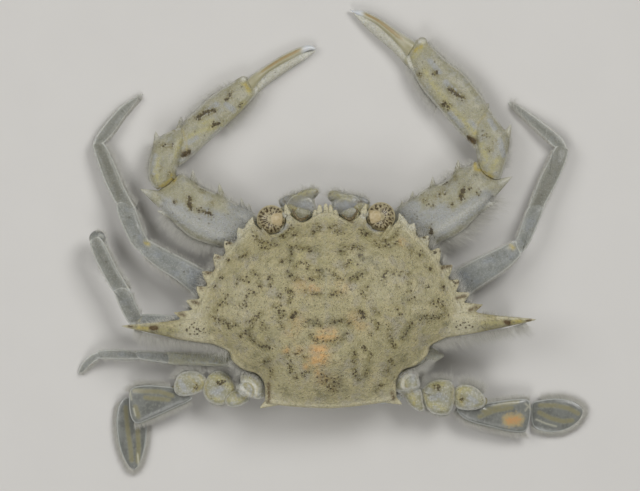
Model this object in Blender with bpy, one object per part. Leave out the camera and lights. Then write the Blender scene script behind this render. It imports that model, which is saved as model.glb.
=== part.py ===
"""Eodemus hastatoides, a small swimming crab, as a still, life-size model.

It lies on its breastplate with both claws stretched forward and closed. The design is
written in millimetres in the crab's own frame: +X is its left, -Y its front, +Z up, with
the middle of the carapace at X = Y = 0 and the floor at Z = 0. The finished pieces are
moved together at the end, so that the middle of the model's footprint is the origin.
"""
import math

import bmesh
import bpy
import numpy as np
from mathutils import Matrix, Vector

# Driving dimensions
SPINE_SPAN = 40.0           # over the tips of the two long side spines
DESIGN_SPAN = 40.0          # the span that the sizes below are drawn for
UNIT = 0.001 * SPINE_SPAN / DESIGN_SPAN
GAP = 0.3                   # kept between pieces that touch
ROOT_GAP = 0.18             # between a limb's first ring and the curved wall it leaves
MERGE = 0.00001             # metres, welds only what coincides
SIDES = 10                  # of a limb's section
SOFT_ANGLE = 35.0           # degrees: edges sharper than this stay sharp

# Levels
CARAPACE_TOP = 9.5
CREST = 0.35                # of the top, left to the raised regions
EDGE_FRONT = 6.2
EDGE_SIDE = 5.5
EDGE_REAR = 5.7
EDGE_THICKNESS = 0.5
CARAPACE_FLOOR = 4.3
THORAX_TOP = 4.0

# Carapace outline, left half, from the middle of the front to the middle of the rear
CENTRE_Y = -1.5
FRONT_LINE = [(0.0, -10.95), (0.7, -10.95), (1.25, -10.5), (1.9, -10.15), (2.5, -10.15),
              (3.0, -10.7), (3.45, -10.9)]
TOOTH_LINE = [(7.55, -9.5), (8.55, -8.6), (9.75, -7.3), (10.75, -5.9), (11.6, -4.4),
              (12.2, -3.0), (12.9, -1.7)]
SPINE_ROOT = [(13.2, -0.9), (12.9, 0.6), (11.4, 1.7)]
REAR_LINE = [(9.85, 2.35), (9.45, 3.3), (8.4, 4.2), (7.1, 4.65), (6.45, 5.5), (6.35, 6.6),
             (6.3, 7.45), (5.1, 7.75), (2.5, 8.05), (0.0, 8.2)]
SMOOTH_LINE = [(0.0, -10.4), (2.6, -10.2), (5.2, -9.8), (7.6, -9.0), (9.7, -7.2),
               (11.5, -4.4), (12.3, -1.6), (11.9, 0.7), (10.0, 2.9), (7.8, 4.9),
               (6.0, 6.6), (3.2, 7.7), (0.0, 8.0)]
AROUND = 116                # points round the carapace
AROUND_LEAN = 0.4           # draws them together towards the front
RINGS_TOP = 8
FIRST_RINGS = (0.02, 0.12)  # shares of the radius next to the middle
TOOTHED_FROM = 0.7          # share of the radius where the toothed outline begins to show
DOME_POWER = 2.5
BEVEL_SHARE = 0.94          # the underside's first ring inside the margin
BEVEL_DROP = 0.36           # of the way down that it has come there

# The underside dips over the bases of the walking legs and leaves a bay for the body
SKIRT_DEPTH = 0.45
SKIRT_TURNS = (66, 80, 116, 126)   # degrees from the front: it dips between these
SKIRT_WIDTH = 1.1
BAY_MARGIN = 0.4
BAY_INSIDE = 3.0            # how far in the bay's roof has its last ring

# Raised regions of the carapace: middle, reach and height; those off the middle are paired
REGIONS = [
    (0.0, -5.6, 3.0, 2.2, 0.30), (2.6, -7.4, 1.7, 1.3, 0.28), (5.6, -6.4, 1.6, 1.5, 0.22),
    (0.0, -2.2, 2.0, 1.4, 0.26), (1.5, 2.9, 1.3, 1.3, 0.30), (5.0, -1.6, 2.2, 1.6, 0.26),
    (8.6, -3.6, 2.0, 1.6, 0.24), (5.4, 2.6, 2.0, 1.5, 0.20), (9.0, 0.1, 2.4, 1.1, 0.20),
]
GROOVES = [(2.7, -3.9, 1.2, 0.8, -0.22), (3.1, 0.9, 0.8, 1.8, -0.30), (1.9, 0.2, 1.2, 0.7, -0.2)]
RELIEF_FADE = 3.0           # the regions fade out over the last third of the radius

# Teeth of the side margin: tip, and the middle of the root
SIDE_TEETH = [
    ((7.1, -10.6), (7.45, -9.0)), ((8.53, -9.55), (8.0, -8.6)), ((9.91, -8.3), (9.2, -7.5)),
    ((10.92, -7.1), (10.3, -6.2)), ((12.12, -5.42), (11.2, -4.7)), ((12.72, -3.95), (11.9, -3.3)),
    ((13.75, -2.65), (12.5, -2.1)), ((14.98, -1.48), (13.2, -1.0)),
]
SIDE_TOOTH_RADIUS = 0.78
SIDE_TOOTH_FLAT = 0.5
SIDE_TOOTH_SUNK = 0.2       # of its axis under the margin's level
SIDE_TOOTH_RISE = 0.15      # of its tip over its root
SPINE_STATIONS = [          # of the long side spine: x, front y, rear y, thickness
    (10.2, -1.1, 1.9, 2.0), (12.6, -1.0, 1.62, 1.5), (14.3, -0.78, 1.38, 1.15),
    (16.0, -0.5, 1.0, 0.9), (17.6, -0.32, 0.66, 0.7), (19.0, -0.16, 0.3, 0.45),
]
SPINE_TIP = (20.0, -0.02)
SPINE_SUNK = 0.25           # of its root's axis under the margin's level
SPINE_RISE = 0.35           # of its tip over its root
FRONT_TEETH = [((0.3, -11.5), (0.32, -10.3), 0.3), ((0.8, -11.2), (0.85, -10.2), 0.3),
               ((3.95, -11.85), (3.3, -10.2), 0.5)]
FRONT_TOOTH_SUNK = 0.3
FRONT_TOOTH_FLAT = 0.8
CORNER_TOOTH = ((6.88, 7.85), (5.6, 6.9), 0.55)
CORNER_TOOTH_FLAT = 0.6

# Breastplate and the body above it, as level outlines: z, half width, front y, rear y
THORAX_LEVELS = [(0.0, 4.7, -5.6, 5.0), (0.5, 5.2, -6.4, 5.5), (1.8, 5.7, -7.4, 6.0),
                 (THORAX_TOP, 5.7, -8.2, 6.0)]
THORAX_POWER = 3.2
THORAX_SIDES = 32

# Folded abdomen: y and half width along the underside, from the tip to the turn at the
# rear, and then z and width up the rear
ABDOMEN_PLAN = [(-2.6, 0.25), (-1.2, 0.9), (0.6, 1.15), (2.4, 1.4), (4.0, 2.2), (7.1, 2.3)]
ABDOMEN_TURN = [(0.2, 4.4), (2.2, 5.2), (THORAX_TOP, 5.8)]
ABDOMEN_DEPTH = 0.8
GROOVE_BELOW = 1.0          # how far the groove's cutter reaches under the floor

# Eyes, on the left
EYE = (5.38, -10.3, 5.35)
EYE_RADIUS = 1.32
EYE_HEIGHT = 1.05
ORBIT_GAP = 0.6             # from the eye's surface to the edge of its socket
ORBIT_TURNS = [-5, 30, 60, 90, 120, 150, 175]
STALK = [(3.95, -9.85, 4.95), (4.4, -10.0, 5.05), (5.2, -10.2, 5.2)]
STALK_SIZES = [(0.8, 0.8), (1.0, 1.0)]

# Mouthparts and feelers, on the left: paths, and width and height at even steps
JAW_PATH = [(2.2, -8.2, 2.6), (2.35, -9.8, 2.8), (2.3, -11.2, 3.1), (2.2, -12.3, 3.5)]
JAW_SIZES = [(2.3, 1.3), (2.3, 1.1), (2.3, 0.9), (1.5, 0.6)]
PALP_PATHS = [
    [(2.6, -11.9, 3.35), (3.3, -12.15, 3.4), (4.35, -12.0, 3.25)],
    [(2.4, -12.1, 3.5), (1.8, -12.65, 3.9), (1.2, -13.0, 4.0), (0.85, -12.5, 3.8)],
]
PALP_SIZES = [(0.9, 0.6), (1.2, 0.7), (0.9, 0.6), (0.4, 0.4)]
FEELER_PATH = [(2.95, -10.95, 4.95), (3.45, -11.3, 4.4), (4.3, -11.15, 3.85), (5.4, -10.9, 3.65),
               (6.4, -10.4, 3.6)]
FEELER_SIZES = [(0.9, 0.8), (0.8, 0.7), (0.5, 0.5), (0.5, 0.5), (0.3, 0.3)]

# Pose of the limbs: where each segment starts, and the tip of the last. Base roots stand on
# the body's side wall, so only their y and z are given there.
CLAW_POSE = {
    "left": [(-5.0, 2.6), (8.4, -8.7, 2.8), (15.75, -14.75, 2.6), (14.1, -18.1, 1.95),
             (7.0, -23.35, 1.0), (0.6, -26.85, 0.55)],
    "right": [(-5.0, 2.6), (-8.4, -8.9, 2.8), (-16.1, -15.0, 2.6), (-15.6, -18.9, 1.95),
              (-9.15, -26.2, 1.0), (-2.9, -30.5, 0.55)],
}
LEG_POSE = {
    ("leg_2", "left"): [(-1.5, 2.6), (10.3, -2.9, 2.6), (17.93, -8.0, 2.3),
                        (19.45, -12.0, 1.9), (21.9, -18.25, 1.2), (17.6, -22.8, 0.03)],
    ("leg_2", "right"): [(-1.5, 2.6), (-10.3, -2.8, 2.6), (-18.3, -6.75, 2.3),
                         (-20.3, -10.55, 1.9), (-23.05, -16.6, 1.2), (-18.1, -21.0, 0.03)],
    ("leg_3", "left"): [(0.65, 2.6), (10.2, 0.5, 2.7), (18.65, -0.8, 2.9),
                        (20.0, -3.75, 3.15), (22.3, -8.4, 3.1)],
    ("leg_3", "right"): [(0.65, 2.6), (-9.8, 0.45, 2.7), (-16.3, 0.25, 2.2)],
    ("leg_4", "left"): [(2.75, 2.6), (9.5, 3.05, 2.6), (15.7, 2.92, 2.2), (18.7, 2.45, 1.8),
                        (22.75, 2.5, 1.2), (24.5, 4.25, 0.03)],
    ("leg_4", "right"): [(2.75, 2.6), (-7.4, 2.75, 2.7), (-10.0, 3.2, 1.95)],
}
SWIM_POSE = {
    "left": [(4.65, 2.8), (9.25, 6.3, 2.9), (12.5, 5.65, 2.7), (14.95, 6.15, 2.2),
             (19.45, 7.4, 1.35)],
    "right": [(4.65, 2.8), (-8.75, 7.35, 2.9), (-12.0, 7.5, 2.7), (-14.75, 8.1, 2.0),
              (-19.25, 9.3, 0.9)],
}

# Spines of the claws: tip, then root, each as a share of the segment's length and the
# distance to the front or inner side (rear or outer side where negative), then radius
CLAW_SPINES = {
    "merus": [((0.13, 3.0), (0.10, 1.4), 0.35), ((0.24, 2.95), (0.20, 1.4), 0.35),
              ((0.507, 2.8), (0.47, 1.2), 0.4), ((0.797, 2.27), (0.75, 0.9), 0.4),
              ((1.1, -2.35), (0.9, -1.1), 0.6), ((0.818, -3.1), (0.68, -1.7), 0.6)],
    "carpus": [((0.93, -2.55), (0.6, -0.8), 0.6), ((0.7, 1.95), (0.6, 0.8), 0.45)],
    "propodus": [((0.165, -1.8), (0.09, -0.7), 0.45), ((0.93, -1.3), (0.84, -0.6), 0.35)],
}
CLAW_SPINE_LIFT = 0.35      # of a claw spine's tip over the segment's middle
CLAW_SPINE_FLAT = 0.8

# Shapes of the claw's segments: share of the length, width, height
CLAW_SHAPES = [
    [(0.0, 2.2, 2.0), (0.35, 2.7, 2.4), (0.7, 2.9, 2.5), (1.0, 3.0, 2.3)],
    [(0.0, 3.8, 2.3), (0.15, 4.5, 2.7), (0.5, 5.1, 2.9), (0.85, 3.9, 2.7), (1.0, 2.8, 2.3)],
    [(0.0, 2.4, 2.2), (0.25, 3.3, 2.7), (0.7, 3.3, 2.7), (1.0, 2.5, 2.3)],
    [(0.0, 2.2, 2.1), (0.12, 3.0, 2.5), (0.45, 3.3, 2.6), (0.85, 2.8, 2.3), (1.0, 2.3, 2.0)],
]
MERUS_BULGE = -0.6          # of the claw's merus, towards its rear edge

# Fingers of the claws: width and height at even steps, and how far off the claw's axis
FINGER_SIZES = [(0.95, 1.1), (0.9, 1.1), (0.65, 0.85), (0.16, 0.2)]
FINGER_OFF_ROOT = 0.64
FINGER_OFF_MIDDLE = 0.6
FINGER_OFF_TIP = 0.27
FINGER_BOW = 0.15           # outwards, of both
POLLEX_SUNK = 1.0           # of its root in the palm
FINGER_RINGS = 9

# Shapes of the walking legs' segments
BASE_SHAPE = [(0.0, 1.75, 1.7), (0.3, 1.9, 1.8), (0.55, 1.5, 1.45), (0.8, 1.75, 1.5),
              (1.0, 1.4, 1.2)]
MERUS_SHAPE = [(0.0, 1.3, 1.1), (0.1, 1.8, 1.25), (0.35, 2.3, 1.35), (0.7, 2.1, 1.3),
               (0.93, 1.6, 1.15), (1.0, 1.3, 0.95)]
CARPUS_SHAPE = [(0.0, 1.15, 0.95), (0.2, 1.4, 1.05), (0.75, 1.75, 1.1), (1.0, 1.5, 0.95)]
PROPODUS_SHAPE = [(0.0, 1.35, 0.9), (0.15, 1.65, 1.0), (0.5, 1.75, 1.0), (0.85, 1.4, 0.95),
                  (1.0, 1.15, 0.85)]
DACTYL_SHAPE = [(0.0, 1.05, 0.8), (0.15, 1.15, 0.8), (0.5, 1.05, 0.7), (0.8, 0.65, 0.5),
                (1.0, 0.16, 0.14)]
LEG_SHAPES = [BASE_SHAPE, MERUS_SHAPE, CARPUS_SHAPE, PROPODUS_SHAPE, DACTYL_SHAPE]

# Legs that lie edge on: shares of the width and height above, past the base
EDGE_ON = {("leg_4", "left"): (0.62, 1.25), ("leg_3", "right"): (0.55, 1.1),
           ("leg_3", "left"): (0.88, 1.0), ("leg_4", "right"): (0.85, 0.9)}

# Folded ends of legs: paths after the joint that they hang on, width and height along each
FOLDED = {
    ("leg_3", "left"): [
        ("dactylus", [(22.57, -8.94, 2.85), (22.1, -9.2, 2.3), (21.6, -7.6, 1.45),
                      (21.0, -5.9, 0.75), (20.7, -5.0, 0.1)],
         [(1.0, 0.8), (1.1, 0.8), (1.0, 0.75), (0.9, 0.65), (0.55, 0.45), (0.2, 0.2)]),
    ],
    ("leg_3", "right"): [
        ("carpus", [(-16.95, 0.25, 1.9), (-16.9, 0.25, 0.9), (-15.0, 0.3, 0.55)],
         [(0.8, 1.0), (0.85, 0.95), (0.9, 0.9), (0.85, 0.85)]),
        ("propodus", [(-14.65, 0.3, 0.55), (-12.0, 0.4, 0.5), (-9.9, 0.5, 0.45)],
         [(0.85, 0.85), (1.0, 0.9), (0.95, 0.85), (0.8, 0.75)]),
        ("dactylus", [(-9.6, 0.5, 0.45), (-7.5, 0.6, 0.35), (-5.6, 0.7, 0.2)],
         [(0.75, 0.7), (0.75, 0.6), (0.55, 0.5), (0.2, 0.2)]),
    ],
    ("leg_4", "right"): [
        ("carpus", [(-10.75, 3.3, 1.5), (-10.5, 3.35, 0.7), (-8.7, 3.4, 0.5)],
         [(0.8, 1.0), (0.85, 0.95), (0.9, 0.9), (0.85, 0.85)]),
        ("propodus", [(-8.05, 3.5, 0.5), (-7.4, 4.3, 0.45), (-7.2, 6.4, 0.45)],
         [(0.85, 0.85), (1.0, 0.9), (0.95, 0.85), (0.8, 0.75)]),
        ("dactylus", [(-7.1, 6.95, 0.4), (-6.2, 7.5, 0.35), (-3.6, 7.7, 0.2)],
         [(0.75, 0.7), (0.75, 0.6), (0.55, 0.5), (0.2, 0.2)]),
    ],
}

# Shapes of the swimming legs' segments, and their blades
SWIM_SHAPES = {
    "left": [
        [(0.0, 1.7, 1.6), (0.3, 2.4, 1.9), (0.5, 1.9, 1.6), (0.8, 2.9, 1.8), (1.0, 2.1, 1.5)],
        [(0.0, 2.0, 1.5), (0.2, 3.1, 1.9), (0.5, 3.5, 2.0), (0.82, 3.0, 1.7), (1.0, 1.8, 1.3)],
        [(0.0, 1.5, 1.2), (0.3, 2.2, 1.5), (0.65, 2.5, 1.3), (1.0, 2.0, 1.0)],
        [(0.0, 2.1, 0.9), (0.2, 2.7, 0.9), (0.6, 3.5, 0.7), (0.92, 4.0, 0.55), (1.0, 3.4, 0.55)],
    ],
    "right": [
        [(0.0, 1.7, 1.6), (0.3, 2.4, 1.9), (0.5, 1.9, 1.6), (0.8, 2.7, 1.8), (1.0, 2.1, 1.5)],
        [(0.0, 2.0, 1.5), (0.2, 3.1, 1.9), (0.5, 3.5, 2.0), (0.82, 3.0, 1.7), (1.0, 1.8, 1.3)],
        [(0.0, 1.5, 1.2), (0.3, 2.3, 1.5), (0.65, 2.6, 1.3), (1.0, 2.0, 1.0)],
        [(0.0, 2.0, 0.9), (0.2, 2.4, 0.9), (0.6, 3.1, 0.7), (0.88, 3.5, 0.55), (1.0, 2.8, 0.55)],
    ],
}
BLADE_PATH = {
    "left": [(19.85, 6.3, 0.6), (19.45, 10.0, 0.27), (19.4, 14.05, 0.27)],
    "right": [(-19.45, 9.1, 0.5), (-22.2, 9.6, 0.27), (-25.0, 9.35, 0.27)],
}
BLADE_WIDTH = {"left": 3.45, "right": 3.35}
BLADE_THICKNESS = 0.52
BLADE_POWER = 2.3
BLADE_RINGS = 9
BLADE_ENDS = (0.03, 0.98)   # shares of the oval that the first and last ring stand at

# Colours and roughness
FINISHES = {
    "carapace": ((0.42, 0.38, 0.24), 0.5), "thorax": ((0.55, 0.53, 0.45), 0.45),
    "abdomen": ((0.57, 0.55, 0.47), 0.45), "eye": ((0.20, 0.17, 0.10), 0.2),
    "maxilliped": ((0.36, 0.41, 0.43), 0.4), "antenna": ((0.44, 0.38, 0.22), 0.45),
    "cheliped": ((0.45, 0.41, 0.27), 0.45), "leg": ((0.33, 0.36, 0.37), 0.45),
    "paddle": ((0.26, 0.28, 0.26), 0.4),
}
PADDLES = ("leg_5_propodus", "leg_5_dactylus")

COLLECTION = "eodemus_hastatoides"


def clear_scene():
    for obj in list(bpy.data.objects):
        bpy.data.objects.remove(obj, do_unlink=True)


def new_collection(name):
    made = bpy.data.collections.new(name)
    bpy.context.scene.collection.children.link(made)
    return made


def finish(obj):
    """Gives an object its own material in its part's colour."""
    kind = "paddle" if obj.name.startswith(PADDLES) else obj.name.split("_")[0]
    colour, roughness = FINISHES[kind]
    made = bpy.data.materials.new(obj.name)
    made.use_nodes = True
    shader = made.node_tree.nodes["Principled BSDF"]
    shader.inputs["Base Color"].default_value = (*colour, 1.0)
    shader.inputs["Roughness"].default_value = roughness
    shader.inputs["Metallic"].default_value = 0.0
    obj.data.materials.clear()
    obj.data.materials.append(made)
    obj.data.shade_smooth()
    obj.data.set_sharp_from_angle(angle=math.radians(SOFT_ANGLE))


# Curves
def through(points, count):
    """Evenly parted points on a smooth curve through the given ones."""
    points = np.asarray(points, float)
    padded = np.vstack([2 * points[0] - points[1], points, 2 * points[-1] - points[-2]])
    fine = []
    steps = 24
    for k in range(len(points) - 1):
        a, b, c, d = padded[k:k + 4]
        for step in range(steps):
            t = step / steps
            fine.append(0.5 * (2 * b + (c - a) * t + (2 * a - 5 * b + 4 * c - d) * t * t
                               + (3 * b - a - 3 * c + d) * t ** 3))
    fine.append(points[-1])
    fine = np.array(fine)
    run = np.concatenate([[0], np.cumsum(np.linalg.norm(np.diff(fine, axis=0), axis=1))])
    return np.array([[np.interp(s, run, column) for column in fine.T]
                     for s in np.linspace(0, run[-1], count)])


def polar_radius(line):
    """The distance of an outline from the carapace's middle, as a function of direction."""
    curve = through(line, 400)
    x, y = curve[:, 0], curve[:, 1] - CENTRE_Y
    turn = np.arctan2(x, -y)
    order = np.argsort(turn)
    return lambda a: np.interp(a, turn[order], np.hypot(x, y)[order])


def unit(v):
    v = np.asarray(v, float)
    return v / np.linalg.norm(v)


def mirrored(path, side):
    """A path drawn for the left side, on the side that is asked for."""
    sign = 1 if side == "left" else -1
    return [(sign * x, y, z) for x, y, z in path]


# Meshes
def new_object(name, bm, home):
    bmesh.ops.remove_doubles(bm, verts=bm.verts, dist=MERGE)
    bmesh.ops.recalc_face_normals(bm, faces=bm.faces)
    mesh = bpy.data.meshes.new(name)
    bm.to_mesh(mesh)
    bm.free()
    obj = bpy.data.objects.new(name, mesh)
    home.objects.link(obj)
    return obj


def loft(name, rings, home, tip=None):
    """A closed skin over rings of equal length, capped flat, or ending in a point."""
    bm = bmesh.new()
    rows = [[bm.verts.new(Vector(p) * UNIT) for p in ring] for ring in rings]
    sides = len(rows[0])
    for low, high in zip(rows, rows[1:]):
        for k in range(sides):
            j = (k + 1) % sides
            bm.faces.new((low[k], low[j], high[j], high[k]))
    bm.faces.new(rows[0][::-1])
    if tip is None:
        bm.faces.new(rows[-1])
    else:
        point = bm.verts.new(Vector(tip) * UNIT)
        for k in range(sides):
            bm.faces.new((rows[-1][k], rows[-1][(k + 1) % sides], point))
    bmesh.ops.triangulate(bm, faces=bm.faces)
    return new_object(name, bm, home)


def oval(width, height, sides=SIDES, power=2.3):
    """Offsets round a rounded oval: across and up."""
    turns = 2 * math.pi * (np.arange(sides) + 0.5) / sides
    c, s = np.cos(turns), np.sin(turns)
    return [(0.5 * width * math.copysign(abs(a) ** (2 / power), a),
             0.5 * height * math.copysign(abs(b) ** (2 / power), b)) for a, b in zip(c, s)]


def mitre(before, after):
    return unit(unit(before) + unit(after))


def segment_rings(start, end, normal_in, normal_out, shape, lead=0.0):
    """Rings from one joint to the next. Each end lies on its joint's own plane."""
    start, end = np.asarray(start, float), np.asarray(end, float)
    axis = unit(end - start)
    across = unit(np.cross(axis, (0, 0, 1)))
    up = np.cross(across, axis)
    length = np.linalg.norm(end - start)
    rings = []
    for share, width, height in shape:
        ring = []
        bow = 4 * share * (1 - share)
        for u, v in oval(width, height):
            offset = across * u + up * v
            first = (GAP / 2 - offset @ normal_in) / (axis @ normal_in)
            last = length - (GAP / 2 + offset @ normal_out) / (axis @ normal_out)
            along = first + (last - first) * share
            ring.append(start + axis * along + offset + across * lead * bow)
        rings.append(ring)
    return rings


def path_rings(path, sizes, count, first_normal=None):
    """Rings along a curved path, square to it, with sizes given at even steps."""
    points = through(path, count)
    ahead = np.gradient(points, axis=0)
    if first_normal is not None:
        ahead[0] = first_normal
    steps = np.linspace(0, 1, len(sizes))
    widths = np.interp(np.linspace(0, 1, count), steps, [s[0] for s in sizes])
    heights = np.interp(np.linspace(0, 1, count), steps, [s[1] for s in sizes])
    rings = []
    side = None
    for point, forward, width, height in zip(points, ahead, widths, heights):
        forward = unit(forward)
        if side is None:
            side = np.cross(forward, (0, 0, 1))
        side = unit(side - forward * (side @ forward))
        up = np.cross(side, forward)
        rings.append([point + side * u + up * v for u, v in oval(width, height)])
    return rings


def flatten(obj):
    """Presses whatever reaches under the floor flat onto it."""
    for vertex in obj.data.vertices:
        vertex.co.z = max(vertex.co.z, 0.0)
    return obj


def cone(root, tip, radius, home, flat=1.0, sides=8):
    """A spine: a cone from its sunk root to its tip, pressed flat by a share."""
    root, tip = Vector(root), Vector(tip)
    axis = tip - root
    bm = bmesh.new()
    bmesh.ops.create_cone(bm, cap_ends=True, segments=sides, radius1=radius * UNIT,
                          radius2=0.0, depth=axis.length * UNIT)
    turn = axis.to_track_quat("Z", "Y").to_matrix().to_4x4()
    squeeze = Matrix.Diagonal((1.0, 1.0, flat, 1.0))
    place = Matrix.Translation((root + tip) / 2 * UNIT)
    bmesh.ops.transform(bm, matrix=place @ squeeze @ turn, verts=bm.verts)
    return new_object("spine", bm, home)


def ball(middle, radii, home, segments=16, rings=10):
    bm = bmesh.new()
    bmesh.ops.create_uvsphere(bm, u_segments=segments, v_segments=rings, radius=1.0)
    shape = Matrix.Diagonal((*[r * UNIT for r in radii], 1.0))
    place = Matrix.Translation(Vector(middle) * UNIT)
    bmesh.ops.transform(bm, matrix=place @ shape, verts=bm.verts)
    return new_object("ball", bm, home)


def keep_largest(obj):
    """Leaves only the largest closed surface of a mesh."""
    bm = bmesh.new()
    bm.from_mesh(obj.data)
    bmesh.ops.remove_doubles(bm, verts=bm.verts, dist=MERGE)
    seen, groups = set(), []
    for face in bm.faces:
        if face in seen:
            continue
        group, stack = [], [face]
        seen.add(face)
        while stack:
            here = stack.pop()
            group.append(here)
            for edge in here.edges:
                for other in edge.link_faces:
                    if other not in seen:
                        seen.add(other)
                        stack.append(other)
        groups.append(group)
    groups.sort(key=len)
    loose = [face for group in groups[:-1] for face in group]
    bmesh.ops.delete(bm, geom=loose, context="FACES")
    bmesh.ops.triangulate(bm, faces=bm.faces)
    bm.to_mesh(obj.data)
    bm.free()


def combine(name, base, others, operation="UNION"):
    """One Boolean of a node's body with all its spines, or with its cutter."""
    tools = bpy.data.collections.new(name + "_tools")
    for obj in others:
        for holder in list(obj.users_collection):
            holder.objects.unlink(obj)
        tools.objects.link(obj)
    boolean = base.modifiers.new("joined", "BOOLEAN")
    boolean.operation = operation
    boolean.operand_type = "COLLECTION"
    boolean.collection = tools
    boolean.solver = "EXACT"
    evaluated = base.evaluated_get(bpy.context.evaluated_depsgraph_get())
    joined = bpy.data.meshes.new_from_object(evaluated)
    base.modifiers.clear()
    base.data = joined
    for obj in others:
        bpy.data.objects.remove(obj, do_unlink=True)
    bpy.data.collections.remove(tools)
    base.name = name
    base.data.name = name
    keep_largest(base)
    return base


# Body
def relief(x, y):
    """Height of the carapace's raised regions and grooves."""
    height = 0.0
    for middle_x, middle_y, reach_x, reach_y, rise in REGIONS + GROOVES:
        for place in {middle_x, -middle_x}:
            away = ((x - place) / reach_x) ** 2 + ((y - middle_y) / reach_y) ** 2
            height += rise * math.exp(-away)
    return height


def edge_height(turn):
    """Level of the margin: turn runs from 0 at the front to pi at the rear."""
    front, rear = max(0.0, math.cos(turn)), max(0.0, -math.cos(turn))
    return EDGE_SIDE + (EDGE_FRONT - EDGE_SIDE) * front ** 2 + (EDGE_REAR - EDGE_SIDE) * rear ** 2


def skirt_height(turn):
    """Level of the underside beside the body, lower over the walking legs' bases."""
    return CARAPACE_FLOOR - SKIRT_DEPTH * np.interp(turn, np.radians(SKIRT_TURNS), (0, 1, 1, 0))


def fold(turn):
    """The same direction on the left half."""
    return min(turn, 2 * math.pi - turn)


def body_radius():
    """The body's top outline, as a function of direction from the carapace's middle."""
    _, width, front, rear = THORAX_LEVELS[-1]
    middle = (front + rear) / 2
    outline = [(u, v + middle) for u, v in oval(2 * width, rear - front, 48, THORAX_POWER)]
    return polar_radius(sorted((p for p in outline if p[0] > 0), key=lambda p: p[1]))


def carapace_body(home):
    reach = EYE_RADIUS + ORBIT_GAP
    socket = [(EYE[0] - reach * math.cos(a), EYE[1] + reach * math.sin(a))
              for a in np.radians(ORBIT_TURNS)]
    sharp = polar_radius(FRONT_LINE + socket + TOOTH_LINE + SPINE_ROOT + REAR_LINE)
    smooth = polar_radius(SMOOTH_LINE)
    body = body_radius()
    steps = 2 * math.pi * np.arange(AROUND) / AROUND
    turns = steps - AROUND_LEAN * np.sin(steps)

    def plan(turn, share):
        toothed = max(0.0, (share - TOOTHED_FROM) / (1 - TOOTHED_FROM)) ** 1.5
        radius = share * ((1 - toothed) * smooth(fold(turn)) + toothed * sharp(fold(turn)))
        return radius * math.sin(turn), CENTRE_Y - radius * math.cos(turn)

    def upper(turn, share):
        x, y = plan(turn, share)
        edge = edge_height(fold(turn))
        rise = (CARAPACE_TOP - CREST - edge) * (1 - share ** DOME_POWER)
        return x, y, edge + rise + relief(x, y) * min(1.0, RELIEF_FADE * (1 - share))

    def lower(turn, share, drop):
        x, y = plan(turn, share)
        edge = edge_height(fold(turn)) - EDGE_THICKNESS
        return x, y, edge - drop * (edge - skirt_height(fold(turn)))

    def bay(turn, margin, level=None):
        radius = body(fold(turn)) + margin
        height = skirt_height(fold(turn)) if level is None else level
        return radius * math.sin(turn), CENTRE_Y - radius * math.cos(turn), height

    shares = [FIRST_RINGS[0], *np.linspace(FIRST_RINGS[1], 1.0, RINGS_TOP)]
    rings = [[upper(t, share) for t in turns] for share in shares]
    rings.append([lower(t, 1.0, 0.0) for t in turns])
    rings.append([lower(t, BEVEL_SHARE, BEVEL_DROP) for t in turns])
    rings.append([bay(t, SKIRT_WIDTH) for t in turns])
    rings.append([bay(t, BAY_MARGIN) for t in turns])
    rings.append([bay(t, BAY_MARGIN, CARAPACE_FLOOR) for t in turns])
    rings.append([bay(t, -BAY_INSIDE, CARAPACE_FLOOR) for t in turns])
    return loft("carapace", rings, home)


def side_spine(sign, home):
    rings = []
    length = SPINE_TIP[0] - SPINE_STATIONS[0][0]
    for x, front, rear, thickness in SPINE_STATIONS:
        level = EDGE_SIDE - SPINE_SUNK + SPINE_RISE * (x - SPINE_STATIONS[0][0]) / length
        outline = oval(rear - front, thickness)
        rings.append([(sign * x, (rear + front) / 2 + u, level + v) for u, v in outline])
    tip = (sign * SPINE_TIP[0], SPINE_TIP[1], EDGE_SIDE - SPINE_SUNK + SPINE_RISE)
    return loft("side_spine", rings, home, tip)


def carapace(home):
    body = carapace_body(home)
    spines = []
    for sign in (1, -1):
        spines.append(side_spine(sign, home))
        for tip, root in SIDE_TEETH:
            turn = math.atan2(root[0], CENTRE_Y - root[1])
            level = edge_height(turn) - SIDE_TOOTH_SUNK
            spines.append(cone((sign * root[0], root[1], level),
                               (sign * tip[0], tip[1], level + SIDE_TOOTH_RISE),
                               SIDE_TOOTH_RADIUS, home, SIDE_TOOTH_FLAT))
        for tip, root, radius in FRONT_TEETH:
            level = EDGE_FRONT - FRONT_TOOTH_SUNK
            spines.append(cone((sign * root[0], root[1], level), (sign * tip[0], tip[1], level),
                               radius, home, FRONT_TOOTH_FLAT))
        tip, root, radius = CORNER_TOOTH
        level = EDGE_REAR - FRONT_TOOTH_SUNK
        spines.append(cone((sign * root[0], root[1], level), (sign * tip[0], tip[1], level),
                           radius, home, CORNER_TOOTH_FLAT))
    return combine("carapace", body, spines)


def thorax_wall(y, z):
    """Half width of the body's side wall at a place."""
    for (z0, w0, f0, r0), (z1, w1, f1, r1) in zip(THORAX_LEVELS, THORAX_LEVELS[1:]):
        if z <= z1:
            t = (z - z0) / (z1 - z0)
            width, front, rear = w0 + t * (w1 - w0), f0 + t * (f1 - f0), r0 + t * (r1 - r0)
            break
    share = abs((y - (front + rear) / 2) / ((rear - front) / 2))
    return width * (1 - min(share, 1.0) ** THORAX_POWER) ** (1 / THORAX_POWER)


def thorax(home):
    rings = []
    for z, width, front, rear in THORAX_LEVELS:
        outline = oval(2 * width, rear - front, THORAX_SIDES, THORAX_POWER)
        rings.append([(u, v + (front + rear) / 2, z) for u, v in outline])
    body = loft("thorax", rings, home)
    groove = abdomen_plate("groove", home, GAP, ABDOMEN_DEPTH + GAP, -GROOVE_BELOW)
    return combine("thorax", body, [groove], "DIFFERENCE")


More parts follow.
